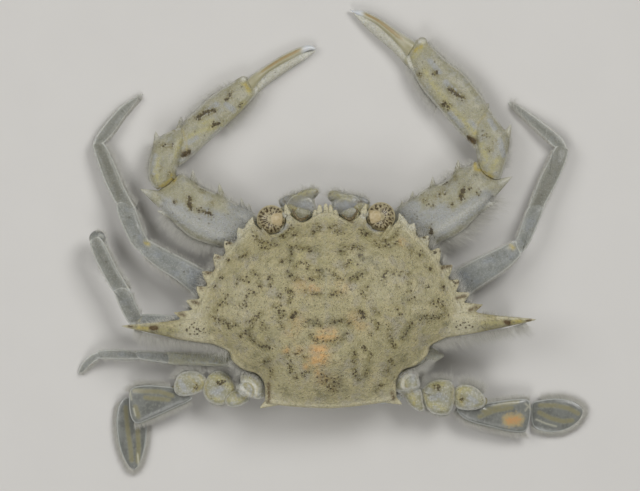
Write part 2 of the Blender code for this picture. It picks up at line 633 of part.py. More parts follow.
def abdomen_plate(name, home, margin, top, bottom):
    """The folded tail as a flat tapering plate, or, with a margin, the groove for it."""
    rings = []
    for y, width in ABDOMEN_PLAN:
        y = y - margin if y == ABDOMEN_PLAN[0][0] else y
        half = width + margin
        rings.append([(half, y, bottom), (half, y, top), (-half, y, top), (-half, y, bottom)])
    return loft(name, rings, home)


def abdomen(home):
    plate = abdomen_plate("abdomen", home, 0.0, ABDOMEN_DEPTH, 0.0)
    front, rear = THORAX_LEVELS[-1][3] + GAP, ABDOMEN_PLAN[-1][0]
    rings = [[(width / 2, front, z), (width / 2, rear, z), (-width / 2, rear, z),
              (-width / 2, front, z)] for z, width in ABDOMEN_TURN]
    return combine("abdomen", plate, [loft("turn", rings, home)])


def eye(side, home):
    (middle,) = mirrored([EYE], side)
    globe = ball(middle, (EYE_RADIUS, EYE_RADIUS, EYE_HEIGHT), home)
    stalk = loft("stalk", path_rings(mirrored(STALK, side), STALK_SIZES, 5), home)
    return combine("eye_" + side, globe, [stalk])


def maxilliped(side, home):
    jaw = loft("jaw", path_rings(mirrored(JAW_PATH, side), JAW_SIZES, 6, (0, -1, 0)), home)
    palps = [loft("palp", path_rings(mirrored(path, side), PALP_SIZES, 6), home)
             for path in PALP_PATHS]
    return combine("maxilliped_" + side, jaw, palps)


def antenna(side, home):
    return loft("antenna_" + side, path_rings(mirrored(FEELER_PATH, side), FEELER_SIZES, 8), home)


# Limbs
def root_point(y, z, sign):
    """Where a limb's base stands on the body's side wall, and the wall's own direction."""
    step = 0.05
    slope = (thorax_wall(y + step, z) - thorax_wall(y - step, z)) / (2 * step)
    outward = unit((sign, -slope, 0.0))
    return np.array([sign * thorax_wall(y, z), y, z]) + outward * ROOT_GAP, outward


def resize(shape, width, height):
    return [(share, w * width, h * height) for share, w, h in shape]


def limb(name, side, pose, shapes, names, home, bulge=0.0):
    """Segments from the body outwards, each from joint to joint; the second may bulge."""
    sign = 1 if side == "left" else -1
    (root_y, root_z), *joints = pose
    start, outward = root_point(root_y, root_z, sign)
    points = [start] + [np.array(j, float) for j in joints]
    ways = [unit(b - a) for a, b in zip(points, points[1:])]
    made = []
    for k, (shape, part) in enumerate(zip(shapes, names)):
        normal_in = outward if k == 0 else mitre(ways[k - 1], ways[k])
        normal_out = mitre(ways[k], ways[k + 1]) if k + 1 < len(ways) else ways[k]
        lead = sign * bulge if k == 1 else 0.0
        rings = segment_rings(points[k], points[k + 1], normal_in, normal_out, shape, lead)
        made.append(flatten(loft(f"{name}_{part}_{side}", rings, home)))
    return made, points, ways


def folded_end(name, side, joint, way, home):
    """The last segments of a leg, bent down and back under it."""
    made = []
    for k, (part, path, sizes) in enumerate(FOLDED[(name, side)]):
        first = way if k == 0 else None
        path = [joint + way * GAP / 2] + path if k == 0 else path
        rings = path_rings(path, sizes, 2 * len(sizes), first)
        made.append(flatten(loft(f"{name}_{part}_{side}", rings, home)))
    return made


def walking_leg(name, side, home):
    wide, high = EDGE_ON.get((name, side), (1.0, 1.0))
    shapes = LEG_SHAPES[:1] + [resize(shape, wide, high) for shape in LEG_SHAPES[1:]]
    names = ["base", "merus", "carpus", "propodus", "dactylus"]
    pose = LEG_POSE[(name, side)]
    count = len(pose) - 1
    made, points, ways = limb(name, side, pose, shapes[:count], names[:count], home)
    if (name, side) in FOLDED:
        made += folded_end(name, side, points[-1], ways[-1], home)
    return made


def claw_spines(part, start, end, side, home):
    """The spines of one segment of a claw, placed along and beside its axis."""
    sign = 1 if side == "left" else -1
    axis = end - start
    across = unit(np.cross(axis, (0, 0, 1))) * sign
    lift = np.array([0, 0, CLAW_SPINE_LIFT])
    spines = []
    for (tip_share, tip_off), (root_share, root_off), radius in CLAW_SPINES[part]:
        tip = start + axis * tip_share + across * tip_off + lift
        root = start + axis * root_share + across * root_off + lift / 2
        spines.append(cone(root, tip, radius, home, CLAW_SPINE_FLAT))
    return spines


def finger(name, palm_end, tip, way, outward, turned, back, home):
    """One finger of a claw, off its axis to the side that it is turned to."""
    off = outward * turned
    root = palm_end + way * back + off * FINGER_OFF_ROOT
    middle = (palm_end + tip) / 2 + off * FINGER_OFF_MIDDLE + outward * FINGER_BOW
    path = [root, middle, tip + off * FINGER_OFF_TIP]
    return flatten(loft(name, path_rings(path, FINGER_SIZES, FINGER_RINGS), home))


def claw(side, home):
    sign = 1 if side == "left" else -1
    names = ["base", "merus", "carpus"]
    made, points, ways = limb("cheliped", side, CLAW_POSE[side], CLAW_SHAPES[:3], names, home,
                              MERUS_BULGE)
    for k in (1, 2):
        spines = claw_spines(names[k], points[k], points[k + 1], side, home)
        combine(f"cheliped_{names[k]}_{side}", made[k], spines)
    rings = segment_rings(points[3], points[4], mitre(ways[2], ways[3]), ways[3], CLAW_SHAPES[3])
    palm = loft("palm", rings, home)
    outward = -unit(np.cross(ways[4], (0, 0, 1))) * sign
    ends = (points[4], points[5], ways[4], outward)
    pollex = finger("pollex", *ends, -1, -POLLEX_SUNK, home)
    spines = claw_spines("propodus", points[3], points[4], side, home)
    made.append(flatten(combine(f"cheliped_propodus_{side}", palm, [pollex] + spines)))
    made.append(finger(f"cheliped_dactylus_{side}", *ends, 1, GAP / 2, home))
    return made


def swimming_leg(side, home):
    names = ["base", "merus", "carpus", "propodus"]
    made = limb("leg_5", side, SWIM_POSE[side], SWIM_SHAPES[side], names, home)[0]
    shares = np.linspace(*BLADE_ENDS, BLADE_RINGS)
    widths = BLADE_WIDTH[side] * (1 - abs(2 * shares - 1) ** BLADE_POWER) ** 0.5
    rings = path_rings(BLADE_PATH[side], [(w, BLADE_THICKNESS) for w in widths], BLADE_RINGS)
    made.append(flatten(loft(f"leg_5_dactylus_{side}", rings, home)))
    return made


def crab(home):
    pieces = [carapace(home), thorax(home), abdomen(home)]
    for side in ("left", "right"):
        pieces += [eye(side, home), maxilliped(side, home), antenna(side, home)]
        pieces += claw(side, home)
        pieces += swimming_leg(side, home)
        for name in ("leg_2", "leg_3", "leg_4"):
            pieces += walking_leg(name, side, home)
    return pieces


# Placing
def corners(obj):
    points = np.array([vertex.co for vertex in obj.data.vertices])
    return points.min(0), points.max(0)


def place(pieces, home):
    """Puts the middle of the footprint at the origin, and each origin in its own piece."""
    lows, highs = zip(*[corners(obj) for obj in pieces])
    centre = (np.min(lows, axis=0) + np.max(highs, axis=0)) / 2
    centre[2] = 0.0
    holder = bpy.data.objects.new("crab", None)
    home.objects.link(holder)
    for obj, low, high in zip(pieces, lows, highs):
        middle = Vector((low + high) / 2)
        middle.z = 0.0
        obj.data.transform(Matrix.Translation(-middle))
        obj.location = middle - Vector(centre)
        obj.parent = holder


def main():
    clear_scene()
    home = new_collection(COLLECTION)
    pieces = crab(home)
    place(pieces, home)
    for obj in pieces:
        finish(obj)


main()
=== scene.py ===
"""Looks of the swimming crab Eodemus hastatoides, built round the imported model.

Shapes are in millimetres in the crab's own frame, as in the part's source: +X is its left,
-Y its front, +Z up, and the floor is at Z = 0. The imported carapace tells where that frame
lies. Outlines and markings are drawn in the photo's pixels, and from_photo turns them into
millimetres.
"""
import math

import bmesh
import bpy
import numpy as np
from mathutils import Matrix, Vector


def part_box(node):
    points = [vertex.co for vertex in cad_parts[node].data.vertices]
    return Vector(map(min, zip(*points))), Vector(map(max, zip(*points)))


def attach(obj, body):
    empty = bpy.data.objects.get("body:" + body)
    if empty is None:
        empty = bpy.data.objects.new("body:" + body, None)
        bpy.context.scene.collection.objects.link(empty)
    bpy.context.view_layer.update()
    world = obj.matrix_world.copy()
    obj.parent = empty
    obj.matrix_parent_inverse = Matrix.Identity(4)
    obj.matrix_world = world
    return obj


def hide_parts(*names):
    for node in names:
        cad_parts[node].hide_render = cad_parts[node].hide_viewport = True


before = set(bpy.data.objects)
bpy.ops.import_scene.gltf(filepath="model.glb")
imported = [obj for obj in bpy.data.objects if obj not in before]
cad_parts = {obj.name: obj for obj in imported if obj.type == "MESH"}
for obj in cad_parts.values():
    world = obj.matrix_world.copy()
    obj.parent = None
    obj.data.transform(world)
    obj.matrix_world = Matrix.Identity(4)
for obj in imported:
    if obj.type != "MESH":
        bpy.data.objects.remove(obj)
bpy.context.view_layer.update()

# Frame
MM = 0.001
CARAPACE_REAR = 8.2
carapace_low, carapace_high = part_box("carapace")
SHIFT = np.array([(carapace_low.x + carapace_high.x) / 2 / MM,
                  carapace_high.y / MM - CARAPACE_REAR, 0.0])
SIGNS = {"left": 1, "right": -1}

# Fineness of curves and skins
CURVE_STEPS = 24
CURVE_POINTS = 200
POLAR_POINTS = 800
RIM_POINTS = 160
SEGMENT_ROWS = 48
SEGMENT_SIDES = 44
BODY_SIDES = 96
TINY = 1e-12
ROUNDING_POWER = 2.6
SMALLEST_SECTION = 0.02

# Sides, rows and squareness of the plates drawn on the photo
PLATES = {"head": (120, 34, 3.0), "leg": (130, 30, 3.6), "claw": (160, 48, 3.4),
          "swimmer": (150, 44, 3.4)}

# Pale rims along outlines: strength, and the distances over which it fades in, in millimetres
RIMS = {"leg": (0.9, 0.2, 0.08), "leg_edge": (0.45, 0.6, 0.1), "claw": (0.8, 0.26, 0.08),
        "finger": (0.75, 0.2, 0.06), "base": (0.75, 0.26, 0.08), "swimmer": (0.75, 0.3, 0.05),
        "paddle": (0.7, 0.17, 0.05)}
SPINE_TIP_PALE = 0.5
TOOTH_TIP_PALE = 0.45
SIDES_PALE = 0.8

# Voxels of the fused forms, and what fusing takes off a spine's tip
CARAPACE_VOXEL = 0.085
THORAX_VOXEL = 0.14
BASE_VOXEL = 0.09
LIMB_VOXEL = 0.08
FUSING_LOSS = 0.12

# Levels
CARAPACE_TOP = 9.5
CREST = 0.35
EDGE_FRONT, EDGE_SIDE, EDGE_REAR = 6.2, 5.5, 5.7
EDGE_THICKNESS = 0.5
CARAPACE_FLOOR = 4.3
THORAX_TOP = 4.0

# Carapace outline, left half, from the middle of the front to the middle of the rear
CENTRE_Y = -1.5
FRONT_LINE = [(0.0, -10.85), (0.6, -10.8), (1.15, -10.55), (1.8, -10.1), (2.5, -10.0),
              (3.1, -10.35), (3.5, -10.7)]
TOOTH_LINE = [(7.55, -9.5), (8.55, -8.6), (9.75, -7.3), (10.75, -5.9), (11.6, -4.4),
              (12.2, -3.0), (12.9, -1.7)]
SPINE_ROOT = [(13.2, -0.9), (12.9, 0.5), (11.4, 1.57)]
REAR_LINE = [(9.85, 2.35), (9.45, 3.3), (8.4, 4.2), (7.1, 4.65), (6.45, 5.5), (6.35, 6.6),
             (6.3, 7.45), (5.1, 7.75), (2.5, 8.05), (0.0, 8.2)]
SMOOTH_LINE = [(0.0, -10.4), (2.6, -10.2), (5.2, -9.8), (7.6, -9.0), (9.7, -7.2),
               (11.5, -4.4), (12.3, -1.6), (11.9, 0.7), (10.0, 2.9), (7.8, 4.9),
               (6.0, 6.6), (3.2, 7.7), (0.0, 8.0)]
AROUND = 420
RINGS_TOP = 70
TOOTHED_FROM = 0.7
DOME_POWER = 2.5
SKIRT_DEPTH = 0.45
SKIRT_TURNS = (66, 80, 116, 126)
SKIRT_WIDTH = 1.1
BAY_MARGIN = 0.4
BAY_MIDDLE = -3.0
UNDER_EDGE = [(1.0, 0.0), (0.97, 0.22), (0.94, 0.36)]
SOCKET_ARC = (-5, 175, 13)
FRONT_CROWDING = 0.35
RIM_CROWDING = 1.2
TOOTH_ONSET = 1.5
RELIEF_FADE = 3.0
FINE_FADE = 6.0
LIP_HEIGHT = 0.12
LIP_PLACE = (0.985, 0.012)

# Raised regions of the carapace: middle, reach and height; those off the middle are paired
REGIONS = [
    (0.0, -5.6, 3.0, 2.2, 0.30), (2.6, -7.4, 1.7, 1.3, 0.28), (5.6, -6.4, 1.6, 1.5, 0.22),
    (0.0, -2.2, 2.0, 1.4, 0.26), (1.5, 2.9, 1.3, 1.3, 0.30), (5.0, -1.6, 2.2, 1.6, 0.26),
    (8.6, -3.6, 2.0, 1.6, 0.24), (5.4, 2.6, 2.0, 1.5, 0.20), (9.0, 0.1, 2.4, 1.1, 0.20),
]
GROOVES = [(2.7, -3.9, 1.2, 0.8, -0.22), (3.1, 0.9, 0.8, 1.8, -0.30), (1.9, 0.2, 1.2, 0.7, -0.2)]
FINE_REGIONS = [
    (1.1, -9.3, 0.6, 0.7, 0.12), (2.3, -9.0, 0.5, 0.5, -0.07), (3.4, -8.9, 0.8, 0.5, 0.12),
    (1.9, -6.4, 0.9, 0.8, 0.10), (3.6, -5.2, 0.8, 0.7, 0.09), (7.4, -6.9, 0.8, 0.8, 0.08),
    (0.9, 3.3, 0.7, 0.9, 0.10), (0.0, 1.4, 0.5, 0.8, -0.08), (3.9, 1.7, 0.7, 1.4, 0.10),
    (6.7, -0.3, 1.0, 0.8, 0.10), (10.6, -3.9, 0.8, 0.7, 0.08), (2.3, 5.6, 1.3, 0.9, 0.08),
    (0.0, 5.2, 0.8, 1.1, -0.06), (6.3, 4.3, 0.6, 0.9, -0.10), (8.0, -1.5, 0.7, 0.4, -0.08),
]

# Teeth of the side margin: tip, and the middle of the root
SIDE_TEETH = [
    ((7.1, -10.6), (7.45, -9.0)), ((8.53, -9.55), (8.0, -8.6)), ((9.91, -8.3), (9.2, -7.5)),
    ((10.92, -7.1), (10.3, -6.2)), ((12.12, -5.42), (11.2, -4.7)), ((12.72, -3.95), (11.9, -3.3)),
    ((13.75, -2.65), (12.5, -2.1)), ((14.98, -1.48), (13.2, -1.0)),
]
SIDE_TOOTH_RADIUS = 0.78
SIDE_TOOTH_FLAT = 0.42
SIDE_TOOTH_SUNK = 0.2
SIDE_TOOTH_BOW = 0.16
SIDE_TOOTH_LIFT = 0.15

# Long spine at each side: stations with x, front y, rear y and thickness, and its tip
SPINE_STATIONS = [
    (10.2, -1.1, 1.8, 2.0), (12.6, -1.0, 1.48, 1.5), (14.3, -0.78, 1.23, 1.15),
    (16.0, -0.52, 0.88, 0.9), (17.6, -0.36, 0.57, 0.7), (19.0, -0.22, 0.28, 0.45),
    (19.7, -0.15, 0.12, 0.3),
]
SPINE_TIP = (20.15, -0.04)
SPINE_THIN = 0.14
SPINE_ROWS = 60
SPINE_SIDES = 32
SPINE_BENDS = {1: -0.3, -1: 0.14}
SPINE_BEND_RUN = (11.5, 21.5)
SPINE_SUNK = 0.25
SPINE_RISE = 0.35

# Teeth between and beside the eyes in the photo: tip, root and radius
FRONT_TEETH = [((319.8, 204.8), (319.4, 219), 0.26), ((325.6, 203.6), (326.4, 219), 0.24),
               ((330.4, 204.6), (331.6, 219), 0.22), ((315.2, 209.8), (314.8, 220), 0.24),
               ((335.2, 209.8), (336.4, 220), 0.24)]
ORBIT_TEETH = [((284.8, 201.5), (287.5, 214), 0.4), ((366.8, 201.0), (363.4, 213), 0.4)]
FRONT_TOOTH_SUNK = 0.25
ORBIT_TOOTH_SUNK = 0.3
ORBIT_TOOTH_FLAT = 0.55

# Short feelers in the photo, from their root up
ANTENNULES = {
    "left": [(293, 209), (294.5, 214), (298.5, 219), (303.5, 219), (309, 214.5)],
    "right": [(357.5, 208.5), (356, 213.5), (352, 218.5), (347, 218.5), (342, 214.5)],
}
ANTENNULE_LEVEL = 6.0
ANTENNULE_RISE = 0.05
ANTENNULE_SIZES = [(0.18, 0.2), (0.24, 0.26), (0.3, 0.28), (0.24, 0.24), (0.12, 0.12)]

# Ridge over each eye, and the tooth at each rear corner: tip, root and radius
BROW = [(2.9, -9.9), (3.9, -9.3), (4.6, -8.75), (5.6, -8.6), (6.6, -8.9), (7.2, -9.6)]
BROW_SIZES = [(0.42, 0.4), (0.5, 0.45), (0.42, 0.4)]
BROW_LIFT = 0.05
CORNER_TOOTH = ((7.05, 8.05), (5.4, 7.15), 0.7)
CORNER_TOOTH_SUNK = 0.3
CORNER_TOOTH_FLAT = 0.6

# Breastplate and the body above it, as level outlines: z, half width, front y, rear y
THORAX_LEVELS = [(0.0, 4.7, -5.6, 5.0), (0.5, 5.2, -6.4, 5.5), (1.8, 5.7, -7.4, 6.0),
                 (THORAX_TOP, 5.7, -8.2, 6.0)]
THORAX_POWER = 3.2
GROOVE_SUNK = 1.15
BREASTPLATE_TOP = (1.4, 0.2)
SUTURE_WIDTH = 0.14
SUTURE_DEPTH = 0.22
SUTURES = [(-4.2, 0.5), (-2.4, 0.35), (-0.6, 0.15), (1.2, -0.05), (3.0, -0.3)]
ABDOMEN_PLAN = [(-2.6, 0.25), (-1.2, 0.9), (0.6, 1.15), (2.4, 1.4), (4.0, 2.2), (7.1, 2.3)]
ABDOMEN_DEPTH = 0.8
ABDOMEN_ROWS = 90
ABDOMEN_SIDES = 48
PINCH_DEPTH = 0.16
PINCH_REACH = 0.008
ABDOMEN_PATH = [(0, y, ABDOMEN_DEPTH / 2) for y in (-2.6, 0.0, 3.0, 5.4)]
ABDOMEN_PATH += [(0, 6.45, 0.75), (0, 6.72, 1.8), (0, 6.72, THORAX_TOP)]
ABDOMEN_WIDTHS = (0.5, 1.9, 2.3, 2.8, 3.9, 4.4, 4.7, 5.2, 5.6)

# Eyes, mouthparts and feelers, on the left
EYE = (5.33, -10.3, 5.35)
EYE_RADIUS = 1.4
EYE_HEIGHT = 1.05
EYE_RIM = 0.035
EYE_SPOKES = 17
EYE_PUPIL = (0.18, 0.34)
EYE_MARGIN = (0.99, 0.84)
ORBIT_GAP = 0.06
EYE_LOBE = [(4.3, -10.25, 5.75), (4.85, -10.3, 6.0), (5.5, -10.35, 6.15)]
EYE_LOBE_SIZES = [(1.45, 0.9), (1.3, 0.9), (1.05, 0.75)]
STALK = [(3.95, -9.85, 4.95), (4.4, -10.0, 5.05), (5.2, -10.2, 5.2)]
STALK_SIZES = [(0.9, 0.9), (1.1, 1.0)]
JAW_PATH = [(2.2, -8.2, 2.6), (2.35, -9.8, 2.8), (2.3, -11.2, 3.1), (2.2, -12.3, 3.5)]
JAW_SIZES = [(2.3, 1.3), (2.35, 1.1), (2.3, 0.9), (1.5, 0.6)]

# Plates round the mouth and at the feelers' bases in the photo: outline, level and thickness
JAW_PLATES = {
    "left": [([(291, 197), (300, 193.5), (308.5, 194), (314, 198.5), (315.2, 203.5), (317, 209.5),
               (318.5, 216), (312, 223), (298, 223), (288, 214), (286, 205)], 3.95, 0.9),
             ([(278.5, 201), (283, 197), (289, 195), (297, 193.5), (300, 197), (297, 203),
               (290, 209), (282, 208)], 3.7, 0.8),
             ([(296, 195), (301, 191), (306, 189), (312, 187.5), (317, 188.5), (319, 192),
               (317, 196), (312, 200), (305, 201), (298, 200)], 3.9, 0.8)],
    "right": [([(357, 197), (348, 194), (340, 193.5), (334, 197), (331.5, 202), (332.5, 208),
                (331, 215), (337, 223), (350, 223), (360, 214), (363, 205)], 3.95, 0.9),
              ([(370.5, 202), (366, 198), (360, 195.5), (352, 194), (349, 197), (352, 203),
                (359, 209), (367, 208)], 3.7, 0.8),
              ([(352, 196), (347, 193.5), (341, 191.5), (334, 190), (329, 192), (327.5, 197),
                (330, 201), (336, 203), (345, 203), (351, 201)], 3.9, 0.8)],
}
FEELER_PLATES = {
    "left": [([(289, 211), (296, 207), (304, 208.5), (311, 212), (310, 218), (303, 223), (296, 225),
               (290, 220)], 4.6, 1.0),
             ([(280, 213), (284, 211), (288.5, 213), (288.5, 217.5), (284, 219), (280, 216)], 5.2, 1.5),
             ([(277, 231), (280, 225), (285, 222), (288, 224), (286, 230), (281, 234)], 5.0, 1.5),
             ([(290.5, 214), (294, 211.5), (297.5, 215), (297.5, 222), (295, 227), (291.5, 225),
               (290, 219)], 5.2, 1.1)],
    "right": [([(362, 209), (354, 207), (347, 209), (340, 213), (342, 219), (348, 223), (355, 225),
                (361, 219)], 4.6, 1.0),
              ([(370, 212), (366, 210.5), (362, 212.5), (362, 217), (366, 218.5), (370, 216)], 5.2, 1.5),
              ([(374, 230), (371, 224), (366, 222), (363, 224), (365, 229), (370, 233)], 5.0, 1.5),
              ([(360, 213.5), (357, 211.5), (353.5, 215), (353.5, 222), (356, 226), (359.5, 224),
                (361, 219)], 5.2, 1.1)],
}
FEELER_PATH = [(2.95, -10.95, 4.95), (3.45, -11.3, 4.4), (4.3, -11.15, 3.85), (5.4, -10.9, 3.65),
               (6.4, -10.4, 3.6)]
FEELER_SIZES = [(0.9, 0.8), (0.8, 0.7), (0.5, 0.5), (0.42, 0.42), (0.2, 0.2)]
FEELER_RINGS = 60

# Pose of the limbs: where each segment starts, and the tip of the last
CLAW_POSE = {
    "left": [(-5.0, 2.6), (8.4, -8.7, 2.8), (15.75, -14.75, 2.6), (14.1, -18.1, 1.95),
             (7.0, -23.35, 1.0), (0.6, -26.85, 0.55)],
    "right": [(-5.0, 2.6), (-8.4, -8.9, 2.8), (-16.1, -15.0, 2.6), (-15.6, -18.9, 1.95),
              (-9.15, -26.2, 1.0), (-2.9, -30.5, 0.55)],
}
LEG_POSE = {
    ("leg_2", "left"): [(-1.5, 2.6), (10.3, -2.9, 2.6), (17.93, -8.0, 2.3),
                        (19.45, -12.0, 1.9), (21.9, -18.25, 1.2), (17.6, -22.8, 0.03)],
    ("leg_2", "right"): [(-1.5, 2.6), (-10.3, -2.8, 2.6), (-18.3, -6.75, 2.3),
                         (-20.3, -10.55, 1.9), (-23.05, -16.6, 1.2), (-18.1, -21.0, 0.03)],
    ("leg_3", "left"): [(0.65, 2.6), (10.2, 0.5, 2.7), (18.65, -0.8, 2.9),
                        (20.0, -3.75, 3.15), (22.3, -8.4, 3.1)],
    ("leg_3", "right"): [(0.65, 2.6), (-9.8, 0.45, 2.7), (-16.3, 0.25, 2.2)],
    ("leg_4", "left"): [(2.75, 2.6), (9.5, 3.05, 2.6), (15.7, 2.92, 2.2), (18.7, 2.45, 1.8),
                        (22.75, 2.5, 1.2), (24.5, 4.25, 0.03)],
    ("leg_4", "right"): [(2.75, 2.6), (-7.4, 2.75, 2.7), (-10.0, 3.2, 1.95)],
}
SWIM_POSE = {
    "left": [(4.65, 2.8), (9.25, 6.3, 2.9), (12.5, 5.65, 2.7), (14.95, 6.15, 2.2),
             (19.45, 7.4, 1.35)],
    "right": [(4.65, 2.8), (-8.75, 7.35, 2.9), (-12.0, 7.5, 2.7), (-14.75, 8.1, 2.0),
              (-19.25, 9.3, 0.9)],
}

# Outlines of the claws' segments in the photo, and their thickness
CLAW_OUTLINES = {
    "left": {
        "merus": ([(160, 189), (168, 184), (176, 176), (181, 173), (188, 177), (197, 184), (213, 192),
                   (227, 198), (240, 206), (254, 213), (262, 225), (258, 240), (240, 250), (226, 248.5),
                   (207, 243.5), (190, 237), (177, 226), (168, 217), (161, 208), (157, 200),
                   (154, 195)], 2.9),
        "carpus": ([(183, 127), (172, 130), (160, 136), (154, 144), (150, 155), (148, 168), (149, 180),
                    (154, 187), (161, 188), (168, 184), (174, 178), (177, 168), (181, 155), (185, 142),
                    (187, 132)], 2.8),
        "propodus": ([(179, 130), (184, 121), (195, 110), (211.5, 95), (230, 83), (240, 76.5),
                      (245, 75.5), (250, 80), (255.5, 88), (256, 94), (250, 102), (240, 112), (220, 131),
                      (206, 143.5), (190, 158), (181, 165), (176, 167), (174, 158), (175, 142)], 2.6),
    },
    "right": {
        "merus": ([(500, 180), (492, 178), (484, 172), (478, 161), (470, 165), (458, 169), (447, 180),
                   (436, 185), (425, 189), (415, 197), (404, 203), (395, 210), (392, 225), (400, 240),
                   (420, 248), (433, 248), (442, 242), (455, 236), (465, 229), (475, 219), (484, 209),
                   (490, 200), (496, 192), (501, 186)], 2.9),
        "carpus": ([(478, 113), (488, 107), (495, 116), (503, 127), (508, 134), (509, 148),
                    (507, 160), (504, 170), (500, 179), (492, 178), (484, 173), (479, 165), (477, 155),
                    (475, 140), (474, 125)], 2.8),
        "propodus": ([(490, 112), (485, 100), (475, 86), (463, 72), (447, 60), (434, 47), (426, 40.5),
                      (420, 38), (413, 42), (408.5, 52), (410, 62), (416, 78), (425, 92), (440, 109),
                      (455, 127), (470, 143), (478, 152), (484, 150), (490, 130)], 2.6),
    },
}

# Spines of the claws in the photo: tip, root and radius
CLAW_SPINES = {
    "left": {
        "merus": [((192.3, 169), (193.5, 183), 0.36), ((218.8, 182.5), (221, 197), 0.36),
                  ((240.8, 197.5), (242.5, 209), 0.34), ((248.8, 203.5), (249, 213), 0.32),
                  ((140, 189), (163, 200), 0.72), ((156.6, 211), (176, 215), 0.56)],
        "carpus": [((155, 131), (159, 151), 0.58), ((176, 168), (170, 166), 0.5)],
        "propodus": [((180.6, 116), (180, 131), 0.42), ((243, 76), (240, 82), 0.35)],
    },
    "right": {
        "merus": [((458.3, 159), (458, 174), 0.38), ((433, 175.5), (433, 191), 0.36),
                  ((413, 190.5), (412.5, 203), 0.34), ((402, 200.5), (402.5, 210), 0.32),
                  ((512.3, 176.5), (490, 190), 0.72), ((497, 202), (478, 207), 0.56)],
        "carpus": [((511.8, 123.5), (502, 146), 0.62), ((478, 156), (484, 154), 0.5)],
        "propodus": [((489, 102), (485, 114), 0.42), ((419, 38), (424, 44), 0.35)],
    },
}
CLAW_SPINE_LIFT = 0.1
CLAW_SPINE_STOUT = 1.25
CLAW_SPINE_FLAT = 0.8
CLAW_BASE = [(0.0, 2.2, 2.0), (0.35, 2.7, 2.4), (0.7, 2.9, 2.5), (1.0, 3.0, 2.3)]
CLAW_JOINTS = [(3.0, 2.3), (3.1, 2.5), (3.0, 2.5)]

# Fingers of the claws in the photo: the moving and the fixed one, each between two edges
FINGERS = {
    "left": {
        "moving": ([(245, 80), (252, 73.5), (264, 65.6), (276.7, 57.3), (287.8, 51.1), (300, 46.1),
                    (306.7, 44.6), (312.2, 45), (316.7, 48)],
                   [(253.5, 91.5), (258.2, 84.7), (263.7, 77.8), (269.6, 72.7), (281.5, 65.3),
                    (292.5, 59.4), (301.3, 53.9), (308.1, 50.3), (316.2, 48.6)]),
        "fixed": ([(244, 94), (252.5, 88.5), (259.8, 77.5), (267.2, 70.2), (279.6, 62.6), (290.8, 56.9),
                   (300.6, 52.6), (308.8, 50.8), (315.6, 49.6)],
                  [(249, 103), (258, 93), (269, 83), (279, 76.2), (290, 68.4), (299, 62.9),
                   (306.7, 57.8), (313.3, 52.6), (315.9, 50.4)])},
    "right": {
        "moving": ([(417.5, 42), (410, 37), (399, 30.3), (388, 22.5), (377, 15.9), (369, 12),
                    (362.2, 9.8), (356.7, 9.5), (352.6, 9.6), (350, 8.2)],
                   [(407, 57.6), (399.4, 49.4), (392.6, 40.6), (383.8, 31.8), (376.2, 24.8), (366.3, 18.8),
                    (357.5, 14.4), (352.9, 11.6), (350.4, 9.2)]),
        "fixed": ([(416, 62), (408, 55), (402.3, 46.8), (395.2, 38.4), (386.2, 29.6), (378, 22.6),
                   (367.4, 16.7), (358, 13.2), (352.8, 11.0)],
                  [(415, 74), (404.6, 63.2), (397.8, 55.8), (390, 47.9), (381.1, 40.7), (371.1, 31.8),
                   (362.2, 22.9), (356.7, 17), (353, 12.8)])},
}
FINGER_HEIGHTS = [1.5, 1.35, 1.05, 0.45]
FINGER_ENDS = (0.03, 0.02)
FINGER_POWER = 2.2
CONDYLE_LIFT = 0.45
CONDYLES = {"left": ((243.5, 79.5), 0.36), "right": ((422.5, 41.5), 0.5)}

# Walking legs: sections of the straight segments, as share, width and height, and of the joints
LEG_PARTS = ("base", "merus", "carpus", "propodus", "dactylus")
BASE_SHAPE = [(0.0, 1.75, 1.7), (0.3, 1.9, 1.8), (0.55, 1.5, 1.45), (0.8, 1.75, 1.5),
              (1.0, 1.4, 1.2)]
MERUS_SHAPE = [(0.0, 1.5, 1.15), (0.1, 1.9, 1.25), (0.35, 2.3, 1.35), (0.7, 2.15, 1.3),
               (0.93, 1.8, 1.2), (1.0, 1.65, 1.1)]
LEG_JOINTS = [(1.5, 1.15), (1.4, 1.0), (1.6, 1.0), (1.2, 0.85)]
GROOVE_DEPTH = 0.07

# How much narrower and higher the legs are that stand on edge
EDGE_ON = {("leg_4", "left"): (0.62, 1.25), ("leg_3", "right"): (0.55, 1.1),
           ("leg_3", "left"): (0.88, 1.0), ("leg_4", "right"): (0.85, 0.9)}

